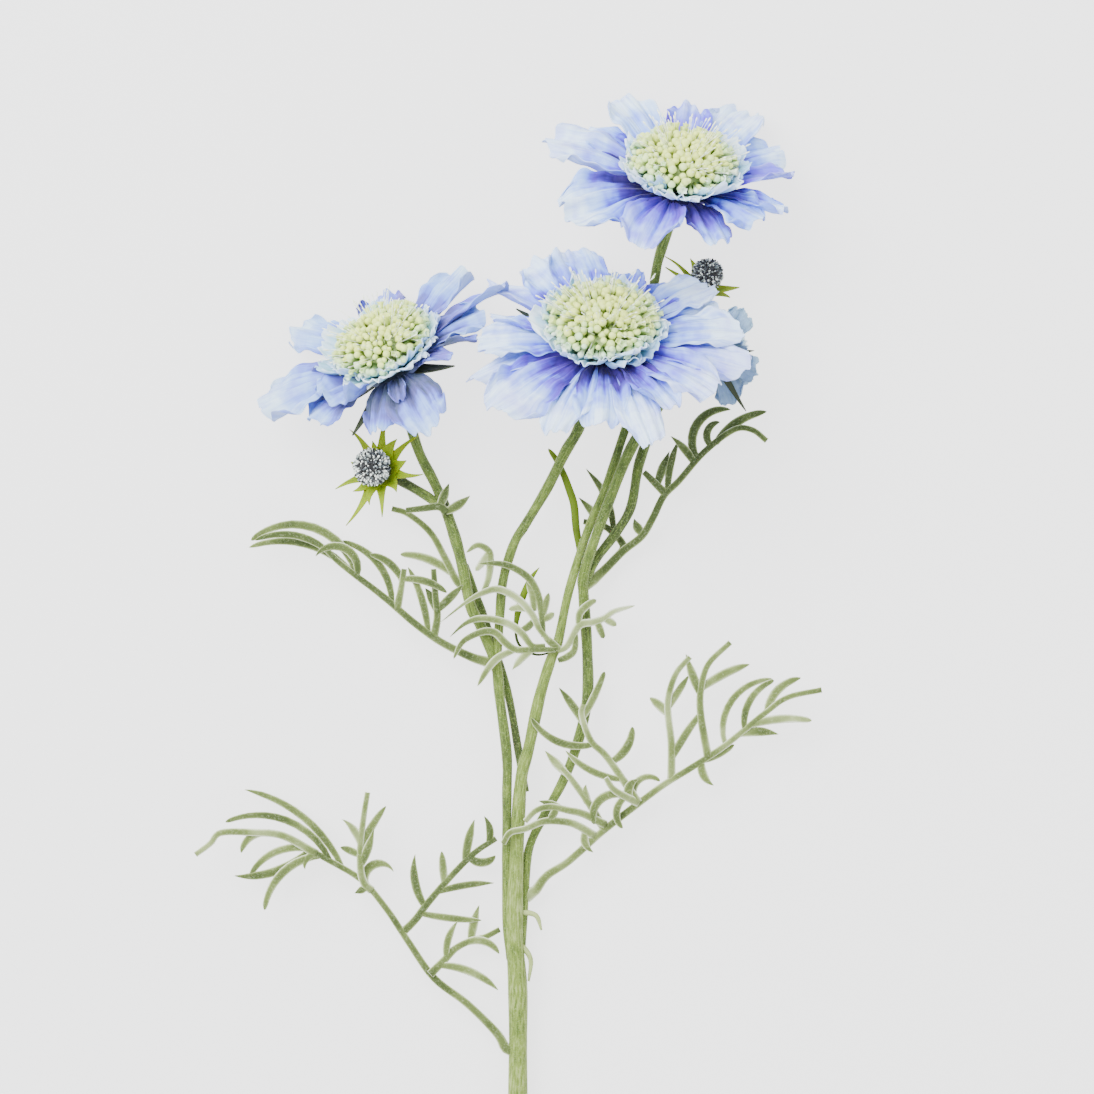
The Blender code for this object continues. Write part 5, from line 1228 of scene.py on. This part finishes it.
# Share of length and share of width along a closed floret: a rod, a neck and a round end. An open one is a
# slim trumpet whose mouth turns in again to a hollow throat. A stamen is a thread with a knob at its end.
FLORET_PROFILE = (
    (0, 0.4), (0.5, 0.5), (0.64, 0.8), (0.76, 0.98), (0.86, 0.97), (0.94, 0.74), (0.985, 0.4), (1, 0.05),
)
TRUMPET_PROFILE = (
    (0, 0.35), (0.45, 0.42), (0.75, 0.6), (0.93, 0.92), (1, 1.05), (0.985, 0.85), (0.9, 0.5), (0.82, 0.05),
)
STAMEN_PROFILE = ((0, 0.5), (0.5, 0.4), (0.86, 0.35), (0.9, 1.0), (0.97, 0.9), (1, 0.1))
# Each with its sides, its lobes and how far they bulge.
FLORET_FORM = (FLORET_PROFILE, 10, 4, 0.05)
TRUMPET_FORM = (TRUMPET_PROFILE, 10, 5, 0.22)
STAMEN_FORM = (STAMEN_PROFILE, 6, 2, 0.1)
# How much longer and slimmer an open floret is than a closed one.
TRUMPET_LENGTH, TRUMPET_GIRTH = 1.16, 0.92
# The domed base under the florets: half width, height of its middle and rise, then radius and height of its
# waist, and the radius of its foot, which stands over the floret disc by the gap, at every size.
BASE_HALF_WIDTH, BASE_MIDDLE, BASE_RISE = 10.4, 3.6, 4.4
BASE_WAIST, BASE_WAIST_Z, BASE_FOOT = 8.0, 1.0, 4.5
BASE_RINGS, BASE_SIDES = 9, 36
HEAD_GAP = 0.3

# Waxy floret tissue: light passes a little way into it. Florets are darker green down their sides than at
# their ends, partly their own green and partly painted shade between the packed florets, and faintly mottled
# in patches about 2 mm across. The rim mark runs from 0, yellow-green in the middle of the head, over mint to
# 1, whitish.
floret_finish, tree, shader = new_finish("waxy floret", {
    "Roughness": 0.5, "Specular IOR Level": 0.35, "Subsurface Weight": 0.25, "Subsurface Scale": 0.001,
    "Subsurface Radius": (0.9, 1.0, 0.6),
})
uv = add_node(tree, "TexCoord", {}, {}).outputs
rim = add_node(tree, "Attribute", {"attribute_name": "rim"}, {}).outputs["Fac"]
split = add_node(tree, "SeparateXYZ", {}, {"Vector": uv["UV"]})
grain = add_node(tree, "TexNoise", {"Scale": 600.0, "Detail": 2.0}, {"Vector": uv["Object"]})
ends = add_node(tree, "ValToRGB", {"stops": (
    (0.0, "#D3DE78"), (0.3, "#CFE08C"), (0.6, "#C4E0AE"), (0.88, "#C2E4CE"), (1.0, "#EEF6E4"),
)}, {"Fac": rim})
side_shade = add_node(tree, "MapRange", {"From Min": 0.8, "From Max": 0.15, "To Max": 0.9},
                {"Value": split.outputs["Y"]})
sides = add_node(tree, "Mix", {"data_type": "RGBA", "blend_type": "MULTIPLY", 7: linear("#87A658")},
                 {0: side_shade.outputs[0], 6: ends.outputs["Color"]})
speck = add_node(tree, "MapRange", {"From Min": 0.4, "From Max": 0.7, "To Max": 0.35},
                 {"Value": grain.outputs["Fac"]})
colour = add_node(tree, "Mix", {"data_type": "RGBA", "blend_type": "MULTIPLY", 7: linear("#B2C069")},
                  {0: speck.outputs[0], 6: sides.outputs[2]})
tree.links.new(colour.outputs[2], shader.inputs["Base Color"])
bump = add_node(tree, "Bump", {"Strength": 0.25, "Distance": 0.0002}, {"Height": grain.outputs["Fac"]})
tree.links.new(bump.outputs[0], shader.inputs["Normal"])

# The cushion that the florets' ends lie on: half its width, the height of its rim, and how far it rises over
# the rim and falls below it.
CUSHION_HALF_WIDTH, CUSHION_RIM, CUSHION_RISE, CUSHION_FALL = 15.0, 5.0, 6.9, 4.2
# The share of its area that lies within each angle from the axis, from its top to below its rim, thinned out
# towards the rim. Its rise is rounded to 7 here.
ANGLES = np.linspace(0, np.radians(112), 200)
SLOPE = np.sin(ANGLES) * np.hypot(CUSHION_HALF_WIDTH * np.cos(ANGLES), 7 * np.sin(ANGLES))
SLOPE = SLOPE * (1 - 0.25 * ANGLES / ANGLES[-1])
COVERED = SLOPE.cumsum() / SLOPE.sum()


def fanned(turn, tilt, scatter, chance):
    """Level spokes at these turns round the axis, and directions that lean out from the axis along them by
    their tilt: the spoke times its sine plus upright times its cosine, plus a random draw."""
    spoke = np.stack([np.cos(turn), np.sin(turn), 0 * turn], 1)
    upright = np.array((0, 0, 1)) * np.cos(tilt)[:, None]
    return spoke, unit(spoke * np.sin(tilt)[:, None] + upright + chance.normal(0, scatter, spoke.shape))


for order, (bloom, count) in enumerate(FLORET_COUNTS.items()):
    chance = np.random.default_rng(40 + order)
    size = SIZES[bloom]
    foot_z = DISC_TOP_Z + HEAD_GAP / size
    profile = [(BASE_HALF_WIDTH * math.sin(arc) * size, (BASE_MIDDLE + BASE_RISE * math.cos(arc)) * size)
               for arc in np.linspace(0, np.pi / 2, BASE_RINGS)]
    profile.append((BASE_WAIST * size, BASE_WAIST_Z * size))
    profile += [(BASE_FOOT * size, foot_z * size), (0, foot_z * size)]
    base = turned(profile, BASE_SIDES, {"rim": 0.4})
    # The uv is that of a place halfway up a floret, so that the base, which shows only in the gaps between
    # florets, has the darker green of the florets' sides as painted shade.
    base["uv"] = base["uv"] * 0 + 0.5

    # The florets' ends lie in a spiral on the cushion, and lean out a little less than its face does.
    step = (np.arange(count) + 0.5) / count
    angle = np.interp(step, COVERED, ANGLES) + chance.normal(0, 0.03, count)
    turn = np.arange(count) * GOLDEN_ANGLE + chance.normal(0, 0.06, count)
    spoke, out = fanned(turn, 0.92 * angle, 0.1, chance)
    tips = spoke * (CUSHION_HALF_WIDTH * np.sin(angle))[:, None]
    tips[:, 2] = CUSHION_RIM + np.where(angle < np.pi / 2, CUSHION_RISE, CUSHION_FALL) * np.cos(angle)
    tips += out * chance.normal(0, 0.5, (count, 1))
    length = (4.4 + chance.uniform(0, 1.4, count)) * size
    share = angle / ANGLES[-1]
    rim = np.clip(share ** 2 * 0.95 + chance.normal(0, 0.16, count), 0, 0.95)
    girth = chance.uniform(0.78, 1.3, count) * (1.03 - 0.12 * share) * size
    # Towards the side of the head more and more florets are open, though fewer at its front.
    opened = np.interp(share, (0.3, 0.55, 0.9), (0.06, 0.45, 0.7)) * (1 - 0.7 * np.maximum(-spoke[:, 1], 0))
    opened = chance.uniform(0, 1, count) < opened
    closed = ~opened
    roots = tips * size - out * length[:, None]
    florets = knobs(roots[closed], out[closed], length[closed], girth[closed], *FLORET_FORM,
                    {"rim": rim[closed]})
    trumpets = knobs(roots[opened], out[opened], length[opened] * TRUMPET_LENGTH,
                     girth[opened] * TRUMPET_GIRTH, *TRUMPET_FORM,
                     {"rim": np.minimum(rim[opened] + 0.15, 0.97)})

    # A small head has fewer stamens, and none stand in its middle.
    stamens = int(STAMEN_COUNT * min(1, size * size * 1.2))
    share = chance.uniform(0.3, 1.0, stamens)
    turn = chance.uniform(0, 2 * np.pi, stamens)
    spoke, out = fanned(turn, 1.3 * share, 0.15, chance)
    roots = spoke * (STAMEN_SPREAD * share)[:, None]
    roots[:, 2] = STAMEN_FOOT + STAMEN_RISE * np.sqrt(1 - 0.9 * share ** 2)
    threads = knobs(roots * size - out * 2 * size, out, chance.uniform(6.5, 12.0, stamens) * size,
                    np.full(stamens, STAMEN_RADIUS * size), *STAMEN_FORM, {"rim": np.full(stamens, 1.0)})
    # Stamens have the pale colour of a floret's end all along.
    threads["uv"][:, 1] = 1.0
    shapes = [base, florets, trumpets, threads]
    for shape in shapes:
        shape["grid"] = in_place(shape["grid"], bloom)
    grown(bloom + "_florets", shapes, floret_finish, (bloom + "_head",))

# The floor, light and camera: a plain pale floor under the spray, broad soft studio light, and a camera that
# looks straight down on it from 1.6 m.

# A matt grey panel that gives white light of its own, so that it looks pale and shadows on it stay faint.
floor_finish, tree, shader = new_finish("pale studio floor", {
    "Roughness": 0.9, "Specular IOR Level": 0.1, "Base Color": linear("#8C8C8C"),
    "Emission Color": linear("#FFFFFF"), "Emission Strength": 2.3,
})
# Half the floor's side and its height, in metres, and its corners in turn.
FLOOR_HALF_SIDE, FLOOR_HEIGHT = 2.0, -0.0005
corners = [(x * FLOOR_HALF_SIDE, y * FLOOR_HALF_SIDE, FLOOR_HEIGHT)
           for x, y in ((-1, -1), (1, -1), (1, 1), (-1, 1))]
mesh = bpy.data.meshes.new("floor")
mesh.from_pydata(corners, [], [(0, 1, 2, 3)])
mesh.materials.append(floor_finish)
floor = bpy.data.objects.new("floor", mesh)
bpy.context.scene.collection.objects.link(floor)

world = bpy.data.worlds.new("soft studio")
world.use_nodes = True
world.node_tree.nodes["Background"].inputs["Color"].default_value = linear("#F4F6FA")
world.node_tree.nodes["Background"].inputs["Strength"].default_value = 1.8
bpy.context.scene.world = world

# Name, place in metres, power in watts and side of each soft lamp. Both point at the blooms.
LAMPS = (
    ("key_lamp", (-0.7, 0.75, 1.3), 72, 1.2),
    ("fill_lamp", (0.9, -0.5, 1.2), 10, 1.2),
)
LAMP_TARGET = np.array((0.01, 0.06, 0.0))
for name, place, power, side in LAMPS:
    lamp = bpy.data.lights.new(name, "AREA")
    lamp.energy, lamp.size = power, side
    lamp = bpy.data.objects.new(name, lamp)
    lamp.location = place
    aim = LAMP_TARGET - np.array(place)
    fall = math.acos(-aim[2] / np.linalg.norm(aim))
    lamp.rotation_euler = (fall, 0, math.atan2(aim[1], aim[0]) - math.pi / 2)
    bpy.context.scene.collection.objects.link(lamp)

# Sensor and lens in millimetres, and the camera's place in metres, over the middle of the photographed part.
SENSOR, LENS = 36.0, 191.35
CAMERA_PLACE = (0.010, 0.051, 1.6)
camera = bpy.data.cameras.new("camera")
camera.sensor_width, camera.lens = SENSOR, LENS
camera.clip_start, camera.clip_end = 0.05, 20.0
camera = bpy.data.objects.new("camera", camera)
camera.location = CAMERA_PLACE
bpy.context.scene.collection.objects.link(camera)
bpy.context.scene.camera = camera

bpy.context.view_layer.update()
